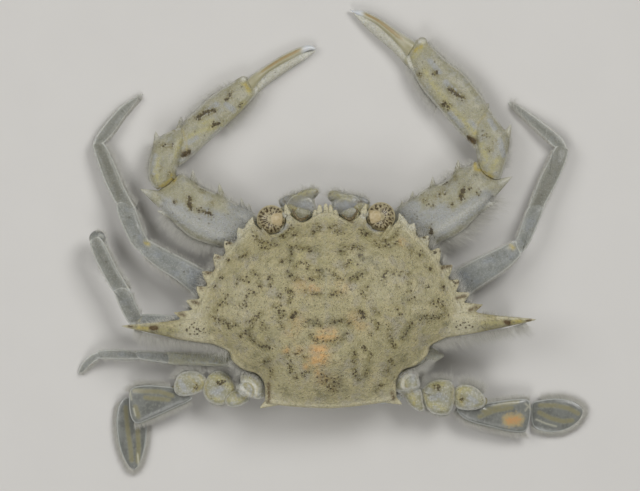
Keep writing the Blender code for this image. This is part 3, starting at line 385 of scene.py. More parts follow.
# Outlines of the walking legs' segments in the photo, and their thickness
LEG_OUTLINES = {
    ("leg_2", "left"): {
        "merus": ([(139, 251), (142, 244), (147, 239.5), (155, 243.5), (170, 251.5), (185, 259),
                   (200, 267), (214, 276), (214, 292), (200, 301), (188, 290), (175, 279.5), (160, 270),
                   (147, 260)], 1.35),
        "carpus": ([(116, 203), (121, 201), (128, 203), (135, 208), (139, 219), (143, 230), (147.5, 238.5),
                    (149.5, 244), (146, 249.5), (139, 251), (133, 247), (128, 239), (121.5, 225),
                    (117, 213)], 1.15),
        "propodus": ([(91.5, 145), (95, 141), (101, 141.5), (105.5, 145.5), (110.5, 155), (117.5, 171),
                      (123.5, 186), (130.5, 199), (136, 210), (129, 208), (122, 204), (116, 204.5),
                      (110.5, 195), (103.5, 180), (97.5, 164), (93.5, 152)], 1.05),
        "dactylus": ([(93, 143), (95, 136.5), (101, 128), (108, 119), (120, 106), (132, 97.8),
                      (142.3, 92.8), (138.5, 99), (131.5, 108), (122.5, 119), (113.5, 132.5), (104.5, 142),
                      (98, 145)], 0.8)},
    ("leg_2", "right"): {
        "merus": ([(521.5, 254.5), (519.5, 247), (516, 240.5), (510, 242.5), (500, 247.5), (480, 257),
                   (460, 267.5), (446, 274), (446, 292), (462, 298), (480, 287.5), (493, 279),
                   (507, 269.5), (517.5, 259.5)], 1.35),
        "carpus": ([(521.5, 253), (516.5, 247), (516, 240), (519, 233), (522.5, 222), (525.5, 213),
                    (529.5, 206), (536, 203), (543.5, 203), (544.5, 208), (540.5, 220), (535, 233),
                    (529.5, 244.5)], 1.15),
        "propodus": ([(555.5, 147), (562, 143.5), (568, 147.5), (569, 154), (565.5, 165), (560.5, 177),
                      (553.5, 190.5), (546.5, 203.5), (543.5, 210), (536, 209), (528.5, 212),
                      (529.5, 204), (535, 190.5), (541.5, 175), (548.5, 161.5)], 1.05),
        "dactylus": ([(509, 102), (518, 104), (531, 112.5), (547, 124.5), (560.5, 135.5), (567, 145),
                      (564, 149.5), (555, 147), (545, 138), (533, 127), (521.5, 116), (512.5, 107)], 0.8)},
    ("leg_3", "left"): {
        "carpus": ([(113.5, 290), (120, 287), (127, 288.5), (131.5, 293), (135.5, 303), (140.5, 313),
                    (144, 318), (142, 323.5), (134, 326), (128, 323), (121.5, 312), (116.5, 301)], 1.1),
        "propodus": ([(89.5, 242), (93, 236.5), (99, 237), (104.5, 243.5), (110.5, 255), (117.5, 269),
                      (124.5, 281), (131, 292), (124, 289.5), (116, 292), (111.5, 290), (105.5, 280),
                      (98.5, 267), (92.5, 254)], 1.0)},
    ("leg_4", "left"): {
        "merus": ([(165.5, 353), (175, 351.8), (195, 352.5), (215, 352.5), (234, 351.5), (236, 366.5),
                   (215, 367), (195, 366), (175, 365), (165.5, 362.5)], 1.3),
        "carpus": ([(133.5, 353.2), (136.5, 351.4), (141, 350.8), (152, 351.5), (168.5, 354),
                    (169, 363.5), (158, 362.5), (146, 361), (137, 358.5)], 1.1),
        "propodus": ([(94, 355.5), (98, 351), (110, 349.7), (124, 350.2), (137.5, 352.8), (139, 359.2),
                      (125, 360), (110, 359.5), (97, 359)], 0.95),
        "dactylus": ([(97.5, 352.5), (92, 354), (85.5, 358.5), (79.5, 366), (77, 373.8), (81.5, 374),
                      (86.5, 369.5), (92.5, 363.5), (98.5, 359)], 0.7)},
    ("leg_4", "right"): {
        "merus": ([(405, 346), (418, 344.5), (430, 346.5), (437, 350.5), (444.2, 355.4), (440.5, 359.5),
                   (434, 363), (428, 366), (416, 366), (405, 364)], 1.35)},
}

# Shading and yellowing of whole segments
LEG_SHADES = {"leg_2": {"carpus": 0.3, "propodus": 1.0, "dactylus": 0.7},
              "leg_3": {"carpus": 0.5, "propodus": 0.65}, "leg_4": {"propodus": 0.2}}
LEG_STRAW = {"leg_4": {"merus": 0.4}}

# Segments folded out of sight: path, and width and height at even steps
FOLDED = {
    ("leg_3", "left"): [
        ("dactylus", [(22.57, -8.94, 2.85), (22.1, -9.2, 2.3), (21.6, -7.6, 1.45),
                      (21.0, -5.9, 0.75), (20.7, -5.0, 0.1)],
         [(1.0, 0.8), (1.1, 0.8), (1.0, 0.75), (0.9, 0.65), (0.55, 0.45), (0.2, 0.2)]),
    ],
    ("leg_3", "right"): [
        ("carpus", [(-16.95, 0.25, 1.9), (-16.9, 0.25, 0.9), (-15.0, 0.3, 0.55)],
         [(0.8, 1.0), (0.85, 0.95), (0.9, 0.9), (0.85, 0.85)]),
        ("propodus", [(-14.65, 0.3, 0.55), (-12.0, 0.4, 0.5), (-9.9, 0.5, 0.45)],
         [(0.85, 0.85), (1.0, 0.9), (0.95, 0.85), (0.8, 0.75)]),
        ("dactylus", [(-9.6, 0.5, 0.45), (-7.5, 0.6, 0.35), (-5.6, 0.7, 0.2)],
         [(0.75, 0.7), (0.75, 0.6), (0.55, 0.5), (0.2, 0.2)]),
    ],
    ("leg_4", "right"): [
        ("carpus", [(-10.4, 3.25, 1.5), (-10.2, 3.3, 0.7), (-8.7, 3.4, 0.5)],
         [(0.7, 0.7), (0.8, 0.8), (0.9, 0.9), (0.85, 0.85)]),
        ("propodus", [(-8.05, 3.5, 0.5), (-7.4, 4.3, 0.45), (-7.2, 6.4, 0.45)],
         [(0.85, 0.85), (1.0, 0.9), (0.95, 0.85), (0.8, 0.75)]),
        ("dactylus", [(-7.1, 6.95, 0.4), (-6.2, 7.5, 0.35), (-3.6, 7.7, 0.2)],
         [(0.75, 0.7), (0.75, 0.6), (0.55, 0.5), (0.2, 0.2)]),
    ],
}

# Swimming legs: outlines in the photo with their level and thickness, and the base's shape
SWIM_BASE = [(0.0, 1.4, 1.5), (0.3, 1.6, 1.7), (0.5, 1.5, 1.5), (0.8, 1.7, 1.6), (1.0, 1.5, 1.3)]
SWIM_JOINTS = [(1.5, 1.3), (1.5, 1.2), (2.0, 0.9)]
SWIM_SLOPES = {"propodus": 0.35, "leaf": 0.1}
SWIM_OUTLINES = {
    "left": {
        "base": [([(244, 369), (254, 371), (263, 378), (266, 388), (264.5, 398), (255, 399), (248, 394),
                   (242, 388), (240, 378)], 4.2, 1.9),
                 ([(243, 382), (250, 381), (255, 386), (256, 393), (252, 398), (246, 396), (240, 392),
                   (237, 387)], 4.5, 1.7),
                 ([(228, 394), (235, 390), (243, 390.5), (249, 395), (249, 401), (241, 406), (232, 407.5),
                   (226, 405), (224.5, 399)], 3.3, 1.9)],
        "merus": [([(236, 388), (231.5, 378), (225, 372.5), (218, 370.5), (210, 374), (205.5, 380),
                    (203, 388), (204, 396), (209, 402), (219, 405.5), (227, 403), (232, 396)], 3.0, 1.9)],
        "carpus": [([(173.5, 386), (176, 378), (181, 373), (188, 371), (196, 371.5), (203, 375),
                     (207.5, 381), (206, 388), (199, 393), (190, 396), (181, 396.5), (175, 393)], 2.7, 1.5)],
        "propodus": [([(180, 392), (173, 388), (163, 386.5), (150, 385.5), (137, 386.5), (130, 390),
                       (128.5, 400), (129, 411), (131.5, 420), (137, 424), (146, 421), (160, 415), (175, 408),
                       (188, 402), (192, 398), (188, 394)], 2.0, 0.8)],
        "leaf": [([(126, 398), (136, 398), (143, 404), (146, 418), (146, 434), (144, 450), (140.5, 462),
                   (136.5, 469.5), (132.5, 471.5), (128, 468.5), (121.5, 456), (117.5, 441), (115.8, 425),
                   (117, 410), (120.5, 402)], 0.42, 0.5)],
    },
    "right": {
        "base": [([(394.5, 381), (398, 371), (407, 367), (416, 368), (419, 377), (420, 387), (413, 391),
                   (405, 391.5), (395.5, 390)], 4.2, 1.9),
                 ([(403, 381), (408, 375), (415, 375), (419, 381), (418, 388), (411, 390),
                   (404, 388)], 4.5, 1.7),
                 ([(403, 391), (409, 389), (417, 388), (422, 392), (423.5, 402), (425, 409), (420, 412),
                   (412, 407.5), (406, 401)], 3.3, 1.9)],
        "merus": [([(421, 391), (426, 385), (433, 381), (442, 379.5), (451, 381.5), (454.5, 388),
                    (455, 398), (453, 408), (449, 414.5), (440, 415.5), (431, 412.5), (424, 404)], 3.0, 1.9)],
        "carpus": [([(453.5, 391), (459, 385.5), (467, 384.5), (475, 387), (482, 392.5), (486, 400),
                     (484, 407), (476, 410), (466, 410.5), (457, 408), (453.5, 400)], 2.6, 1.5)],
        "propodus": [([(480, 406), (487, 403.5), (502, 401), (518, 399.5), (529, 400.5), (531.5, 410),
                       (529.5, 425), (524.5, 432.5), (511, 432), (491, 427.5), (471, 422), (461, 416),
                       (457, 409), (466, 405)], 1.65, 0.8)],
        "leaf": [([(533, 404), (543, 400.5), (557, 399), (571, 401), (581, 406), (584.5, 413), (580, 422),
                   (570, 429), (558, 432.5), (545, 432), (535, 428), (532, 418)], 0.42, 0.5)],
    },
}

# The photo: its size, millimetres to a pixel, the crab's place in it and its turn
PHOTO_SIZE = (640, 491)
PHOTO_STEP = 40.0 / 412.0
PHOTO_MIDDLE = np.array([328.8, 324.0])
PHOTO_TURN = math.radians(178.5)
PHOTO_RIGHT = np.array([math.cos(PHOTO_TURN), math.sin(PHOTO_TURN)])
PHOTO_DOWN = np.array([math.sin(PHOTO_TURN), -math.cos(PHOTO_TURN)])

# Markings seen in the photo, in its pixels, with painted shade and painted light among them: kind, reach,
# strength and lines of points
MARKS = [
    ("dots", 3.2, 1.0, [
        [(313, 233), (320, 228), (316, 225)], [(283, 236), (288, 233), (292, 229)],
        [(292, 234), (297, 234)], [(256, 233), (257, 240), (265, 243), (275, 245)],
        [(262, 247), (268, 248)], [(291, 248), (291, 260)], [(297, 247), (303, 248), (310, 250)],
        [(281, 262), (285, 260)], [(306, 264), (310, 267)], [(315, 270), (321, 272)],
        [(288, 273), (294, 278), (302, 280)], [(311, 279), (319, 277)], [(300, 263), (294, 268)],
        [(253, 272), (258, 276)], [(248, 280)], [(259, 282), (261, 287)], [(241, 279)],
        [(269, 277), (271, 281), (270, 284)], [(247, 253), (242, 257)], [(250, 291), (254, 294)],
        [(247, 296), (245, 300), (247, 304), (242, 307)], [(239, 304)], [(280, 296)],
        [(288, 290), (292, 294), (289, 303)], [(306, 292), (313, 293), (320, 294)],
        [(274, 306), (278, 305)], [(281, 311), (283, 314), (280, 319), (282, 325)],
        [(262, 313), (258, 317), (253, 320), (248, 322)], [(252, 326)], [(236, 284)],
        [(331, 228), (335, 226)], [(335, 230), (341, 232)], [(361, 230), (362, 234), (368, 235)],
        [(344, 247), (350, 248), (355, 246), (361, 249)], [(340, 251), (344, 253)],
        [(358, 255), (363, 258)], [(350, 262), (345, 266)], [(351, 262), (356, 264)],
        [(333, 271), (334, 276), (337, 277)], [(342, 279)], [(351, 279), (357, 277), (361, 273)],
        [(366, 271)], [(382, 280), (384, 276), (387, 273)], [(401, 273)], [(394, 272)],
        [(408, 275)], [(408, 283)], [(374, 242), (380, 246), (388, 246)],
        [(382, 241), (390, 240), (396, 235), (398, 230)], [(393, 244), (398, 243)],
        [(409, 249), (411, 252)], [(420, 255), (424, 253)], [(331, 295), (334, 293), (341, 294)],
        [(367, 288), (363, 292), (365, 297)], [(374, 309), (378, 313)], [(397, 308)],
        [(400, 314)], [(410, 301), (414, 299), (418, 301)], [(409, 292)], [(397, 287)],
        [(262, 324), (265, 330)], [(249, 330), (251, 338), (256, 343), (262, 346), (269, 348)],
        [(268, 341)], [(306, 325), (309, 320)], [(312, 322), (316, 321)], [(317, 323), (321, 325)],
        [(310, 336), (316, 339), (322, 341)], [(322, 341), (334, 340), (336, 343)],
        [(295, 354), (299, 352)], [(304, 357)], [(303, 375), (307, 371)], [(263, 363), (269, 360)],
        [(287, 352), (289, 359), (291, 365), (292, 371), (296, 377)], [(269, 367), (272, 371)],
        [(271, 375)], [(321, 375), (326, 378)], [(326, 382), (332, 385)],
        [(329, 388), (335, 391)], [(333, 322), (336, 323)], [(340, 321), (346, 320)],
        [(350, 324), (347, 333), (343, 338), (334, 341)], [(360, 344), (364, 347), (366, 350)],
        [(355, 352), (354, 362)], [(354, 369), (355, 373), (359, 378)], [(364, 376), (368, 368)],
        [(369, 360), (371, 353)], [(374, 322), (378, 325), (377, 329)], [(389, 329)], [(371, 334)],
        [(389, 335), (391, 342), (395, 347)], [(403, 338), (406, 331), (411, 324)],
        [(390, 360), (392, 364)], [(386, 368), (387, 374)], [(377, 388), (381, 385)],
        [(226, 296)], [(214, 288)], [(220, 304), (227, 302)],
        [(211, 316), (216, 320), (223, 320), (228, 325), (234, 324)], [(187, 329), (193, 325)],
        [(188, 331), (200, 331)], [(186, 328), (196, 329), (207, 332)], [(462, 323), (474, 327)],
        [(241, 335), (249, 332)], [(216, 310)], [(421, 285)],
        [(426, 287)], [(430, 303), (438, 302), (444, 309), (446, 315), (437, 317), (420, 317)],
        [(428, 321)], [(457, 325), (465, 327)], [(471, 324), (475, 325)], [(433, 302)],
        [(200, 210), (210, 214)], [(175, 202)], [(203, 190)], [(212, 203)], [(160, 168)],
        [(163, 146), (171, 146)], [(169, 174)], [(231, 92), (227, 99)], [(200, 119)],
        [(437, 197), (444, 192)], [(452, 205)], [(470, 188)], [(446, 182)], [(425, 200)],
        [(485, 136)], [(496, 142)], [(490, 150)], [(455, 178)], [(478, 193)], [(432, 205)],
    ]),
    ("spot", 2.8, 1.25, [
        [(292, 318), (294, 314), (296, 313)], [(360, 311), (363, 314), (364, 317)],
        [(229, 243)], [(228, 260)], [(222, 277)], [(283, 236)], [(365, 235)], [(424, 238)],
        [(420, 255)], [(435, 252)], [(431, 269)], [(454, 283)], [(443, 287)], [(384, 277)],
        [(212, 126), (219, 123)], [(198, 117), (206, 112), (214, 110)], [(239.5, 105)],
        [(183, 155), (188, 152)], [(189, 199), (189, 204), (191, 208)], [(208, 213)], [(190, 58)],
        [(444, 104), (449, 106)], [(450, 89), (456, 93), (463, 98)], [(420, 74)], [(436, 73)],
        [(470, 138), (475, 141)], [(463, 190), (461, 199)], [(431, 230), (432, 233)],
        [(218, 383), (223, 382)], [(435, 387), (439, 387)], [(462, 400)], [(196, 387)],
    ]),
    ("brown", 3.0, 1.8, [[(151, 328), (156, 328)], [(506, 322), (509, 323)]]),
    ("brown", 3.6, 1.7, [[(184, 154), (188, 152.5)], [(470, 138.5), (474, 141)]]),
    ("brown", 7.0, 0.3, [[(322, 379), (338, 380), (331, 390)]]),
    ("dots", 6.0, 0.7, [[(322, 379), (338, 381), (331, 389)]]),
    ("gold", 2.4, 0.7, [[(139, 327.5), (147, 328.5)], [(520, 321), (513, 322)]]),
    ("brown", 1.5, 1.2, [[(129, 326), (132, 326.5)], [(527, 320.5), (531, 320)],
                         [(323, 377)], [(329, 385)], [(333, 389)], [(326, 381)]]),
    ("brown", 3.0, 1.0, [
        [(206, 273), (210, 273)],
        [(218, 257)], [(201, 288)], [(194, 302), (198, 303)], [(180, 314), (184, 315)],
        [(442, 268), (450, 266)], [(457, 298), (465, 296)], [(470, 310), (477, 307)],
        [(268.5, 384), (269, 401)], [(392, 393), (394, 399)], [(187, 153)], [(473, 139)],
    ]),
    ("smear", 5.5, 1.0, [
        [(249, 331), (253, 340), (262, 346), (270, 346)], [(256, 355)], [(263, 363), (268, 361)],
        [(255, 367)], [(284, 388), (287, 394)], [(276, 332), (280, 330)], [(403, 338), (410, 326)],
        [(402, 360), (405, 356)], [(417, 352)], [(375, 393), (386, 397)], [(340, 385), (345, 391)],
        [(394, 380)], [(369, 365), (365, 376), (357, 378)], [(378, 345)], [(351, 279), (361, 273)],
        [(360, 254), (363, 258)], [(370, 258), (375, 266)], [(288, 273), (294, 278)],
        [(291, 250), (291, 260)], [(341, 252)], [(315, 250)], [(226, 324), (236, 324)],
        [(416, 317), (440, 317)], [(238, 258)], [(237, 246)], [(258, 255)], [(273, 337)],
        [(310, 322), (320, 324)], [(335, 322), (348, 323)], [(390, 340)], [(246, 367)],
        [(200, 332), (212, 330)], [(445, 324), (456, 326)], [(376, 390)], [(303, 343)],
        [(336, 383), (344, 388)], [(315, 392), (325, 396)], [(343, 335)], [(405, 300)],
        [(283, 235), (287, 237)], [(366, 234), (370, 233)], [(313, 249), (320, 251)],
        [(322, 264), (324, 276)],
        [(145, 329), (175, 333), (205, 337)], [(520, 321), (490, 326), (455, 332)],
    ]),
    ("orange", 8.5, 1.0, [[(316, 349), (322, 350), (323, 358), (314, 361)]]),
    ("orange", 7.5, 0.85, [[(321, 335), (332, 334)]]),
    ("orange", 10.0, 0.28, [
        [(298, 322), (292, 332)], [(353, 318), (361, 326)], [(309, 287), (300, 285)], [(343, 287)],
        [(321, 377)], [(300, 350)],
    ]),
    ("orange", 4.5, 0.75, [
        [(317, 372)], [(306, 366)], [(286, 350)], [(402, 242)],
        [(311, 287), (318, 288)],
    ]),
    # The first two lines are painted shadow in the sockets of the short feelers under the front; the rest are
    # brown spots
    ("brown", 1.7, 1.0, [
        [(301, 221), (305, 220), (309, 217)], [(345, 217), (349, 221), (353, 222)],
        [(182, 153), (187, 152)], [(470, 138), (474, 142)], [(357, 203), (360, 202.5)],
        [(228.5, 242.5), (231, 243.5)], [(217.5, 256), (219.5, 258)], [(207, 273.5), (211, 273)],
        [(200.5, 288)], [(192, 301.5), (196.5, 303)], [(182, 314)], [(429, 239)], [(440, 251)],
        [(447.5, 267)], [(456, 283), (459, 282)], [(466, 296)], [(480, 307)],
    ]),
    ("gold", 2.6, 1.0, [
        [(171, 175), (175, 177), (174, 181)], [(475, 163), (476, 169), (481, 170)],
        [(160, 187), (167, 183), (172, 179)], [(484, 172), (492, 177)], [(245, 84), (249, 90)],
        [(421, 46), (415, 50)], [(145, 242.5), (148, 244)], [(511, 246), (514, 248)],
    ]),
    ("gold", 1.8, 0.35, [
        [(254, 379), (257, 386), (256, 396)], [(250, 383), (254, 389), (252, 397)],
        [(245, 384), (249, 388), (248, 395), (243, 399)], [(237, 378), (233, 388), (236, 398)],
        [(228, 377), (234, 386), (231, 394)], [(207, 380), (205, 388), (208, 397)],
        [(200, 376), (203, 384), (198, 391)], [(189, 377), (196, 384), (193, 392)],
        [(404, 372), (401, 380), (404, 387)], [(409, 370), (404, 379), (407, 387)],
        [(412, 391), (415, 400), (414, 405)], [(424, 390), (426, 400)],
        [(454, 386), (453, 398), (455, 407)],
        [(462, 389), (458, 397), (463, 405)], [(182, 129), (186, 140), (187, 150)],
        [(486, 114), (479, 122), (475, 134)],
    ]),
    ("straw", 4.2, 0.8, [
        [(190, 136), (200, 131), (215, 127)], [(222, 125), (236, 115), (245, 103)], [(243, 84), (250, 92)],
        [(200, 124), (212, 121)], [(180, 141), (176, 155)], [(158, 160), (155, 172), (158, 180)],
        [(165, 185), (172, 180)], [(475, 133), (462, 118), (449, 106)], [(446, 100), (433, 84), (425, 70)],
        [(424, 44), (414, 56)], [(482, 145), (487, 160), (480, 166)], [(497, 160), (490, 172)],
        [(210, 376), (222, 380), (230, 387)], [(212, 398), (222, 401)], [(243, 376), (250, 379)],
        [(229, 401), (240, 400)], [(431, 385), (445, 384)], [(430, 405), (444, 408)],
        [(460, 390), (470, 389)],
        [(410, 395), (413, 403)],
    ]),
    ("straw", 3.2, 0.6, [[(136, 328), (148, 329)], [(160, 330), (176, 331)], [(522, 321), (513, 322)],
                         [(502, 323), (482, 323)]]),
    # Painted shade along the side spines and at their roots, where they slope down away from the lamps, and
    # darker patches on the claws' meruses and the right swimming leg's merus
    ("shade", 5.0, 0.9, [[(124, 326), (150, 330), (180, 332)], [(534, 320), (505, 324), (475, 327)]]),
    ("shade", 9.0, 0.5, [[(182, 331), (196, 331)], [(472, 327), (460, 328)]]),
    ("shade", 10.0, 0.45, [[(448, 182), (470, 180)], [(232, 212), (244, 226)], [(438, 392)]]),
    ("white", 1.9, 0.85, [
        [(124, 326.8), (137, 331.4), (155.5, 336), (180.5, 341.2), (205.5, 344.4), (224, 348.2),
         (229, 350)],
        [(536, 320.4), (512, 327.2), (488, 332.6), (462, 336.8), (440, 342), (431, 347)],
        [(124, 325), (140, 324), (158, 322.5)], [(535, 319), (515, 318.5), (498, 317.5)],
    ]),
    ("white", 2.2, 0.9, [[(123.5, 325.8)], [(536.5, 319.6)]]),
    # Painted light on the sloping sides of the carapace, which turn away from the lamps
    ("white", 14.0, 0.24, [
        [(224, 284), (240, 292), (240, 306)], [(434, 282), (418, 290), (420, 304)],
    ]),
    # Painted light on the lower edge of the left palm and on both claws' meruses, where their sides turn away
    # from the lamps
    ("white", 5.0, 0.4, [
        [(186, 159), (192, 152), (206, 140), (222, 126), (240, 110)],
        [(486, 198), (474, 206), (460, 216), (444, 226), (430, 234)],
    ]),
    ("white", 5.0, 0.25, [[(168, 206), (180, 214), (196, 224), (214, 232), (232, 236)]]),
    ("white", 3.4, 1.1, [[(243, 78.5)], [(420, 41), (424, 41)]]),
    ("smoke", 4.0, 0.9, [[(279, 231), (286, 226)], [(369, 224), (375, 229)], [(283, 216), (288, 217)],
                         [(363, 216), (368, 217)]]),
    ("straw", 4.0, 0.4, [
        [(318, 219), (332, 219)], [(276, 240), (284, 238)], [(370, 239), (364, 237)],
        [(172, 358), (200, 359), (230, 359)],
        [(297, 263), (303, 252)], [(355, 268), (350, 258)], [(321, 262), (328, 262)],
        [(262, 338), (256, 330)], [(396, 345), (402, 330)],
    ]),
    ("smoke", 11.0, 1.0, [
        [(168, 206), (180, 214), (196, 224), (214, 232), (232, 236)], [(206, 216), (224, 222), (240, 222)],
        [(236, 208), (246, 214)], [(486, 198), (474, 206), (460, 216), (444, 226), (428, 234)],
        [(444, 212), (430, 216), (414, 222)], [(414, 208), (406, 214)],
    ]),
    ("smoke", 3.6, 0.9, [
        [(187, 143), (196, 137)], [(181, 160), (192, 153)], [(226, 104), (234, 110)],
        [(214, 136), (228, 122)],
        [(153, 172), (155, 156)], [(206, 112), (216, 104)], [(476, 128), (470, 122)],
        [(462, 125), (450, 112)],
        [(446, 82), (456, 92)], [(430, 60), (440, 72)], [(500, 140), (504, 155)], [(495, 128), (490, 120)],
        [(215, 394), (222, 388)], [(238, 397), (232, 402)], [(185, 390), (180, 382)],
        [(440, 395), (432, 398)],
        [(412, 380), (414, 372)], [(470, 398), (476, 402)], [(249, 387), (250, 392)],
    ]),
    ("khaki", 3.6, 1.0, [
        [(125, 408), (127, 430), (130, 450), (131, 461)], [(137, 430), (138, 448), (137, 462)],
        [(541, 406), (556, 406), (570, 409), (579, 414)], [(540, 413), (552, 419), (564, 422), (573, 421)],
        [(484, 412), (500, 406), (518, 402)], [(480, 417), (495, 411), (512, 408)],
        [(134, 391), (160, 392), (172, 396)], [(135, 407), (138, 417)], [(145, 398), (168, 400)],
    ]),
    ("orange", 12.0, 1.0, [[(509.5, 420.8), (518.0, 420.2)]]),
    ("star", 1.2, 1.0, [
        [(537, 420), (546, 424), (557, 427)], [(526, 404), (532, 410)], [(532, 403), (526, 411)],
        [(124, 392), (130, 396)], [(129, 390), (131, 400)], [(137, 455), (138, 466)],
        [(133, 409), (135, 416)],
    ]),
    ("jaw_straw", 5.0, 0.55, [[(296, 195), (306, 192), (316, 190)], [(331, 193), (340, 196), (350, 198)]]),
    ("jaw_smoke", 6.0, 0.6, [[(303, 205), (311, 205)], [(337, 206), (346, 205)]]),
    ("jaw_brown", 1.6, 0.8, [[(358, 202), (362, 202)], [(285, 201.5)], [(317, 192)], [(330, 194)]]),
    ("jaw_white", 1.1, 0.6, [
        [(291, 211), (298, 209.5), (306, 210.8), (312, 213.5), (316, 215)],
        [(302, 200), (309, 198.6), (313.6, 203.6), (315.7, 208.6)],
        [(363, 211), (356, 209.5), (348, 210.5), (341, 213), (337, 214.5)],
        [(351, 200), (342, 198), (336, 203), (333.5, 208)],
    ]),
    ("streak", 1.6, 0.5, [[(325, 236), (325, 262)], [(326, 270), (326, 296)], [(326, 302), (325, 317)]]),
]
DOT_STEP = 0.235
MARK_KINDS = ("dots", "spot", "brown", "smear", "orange", "gold", "straw", "smoke", "streak",
              "khaki", "star", "white", "shade")

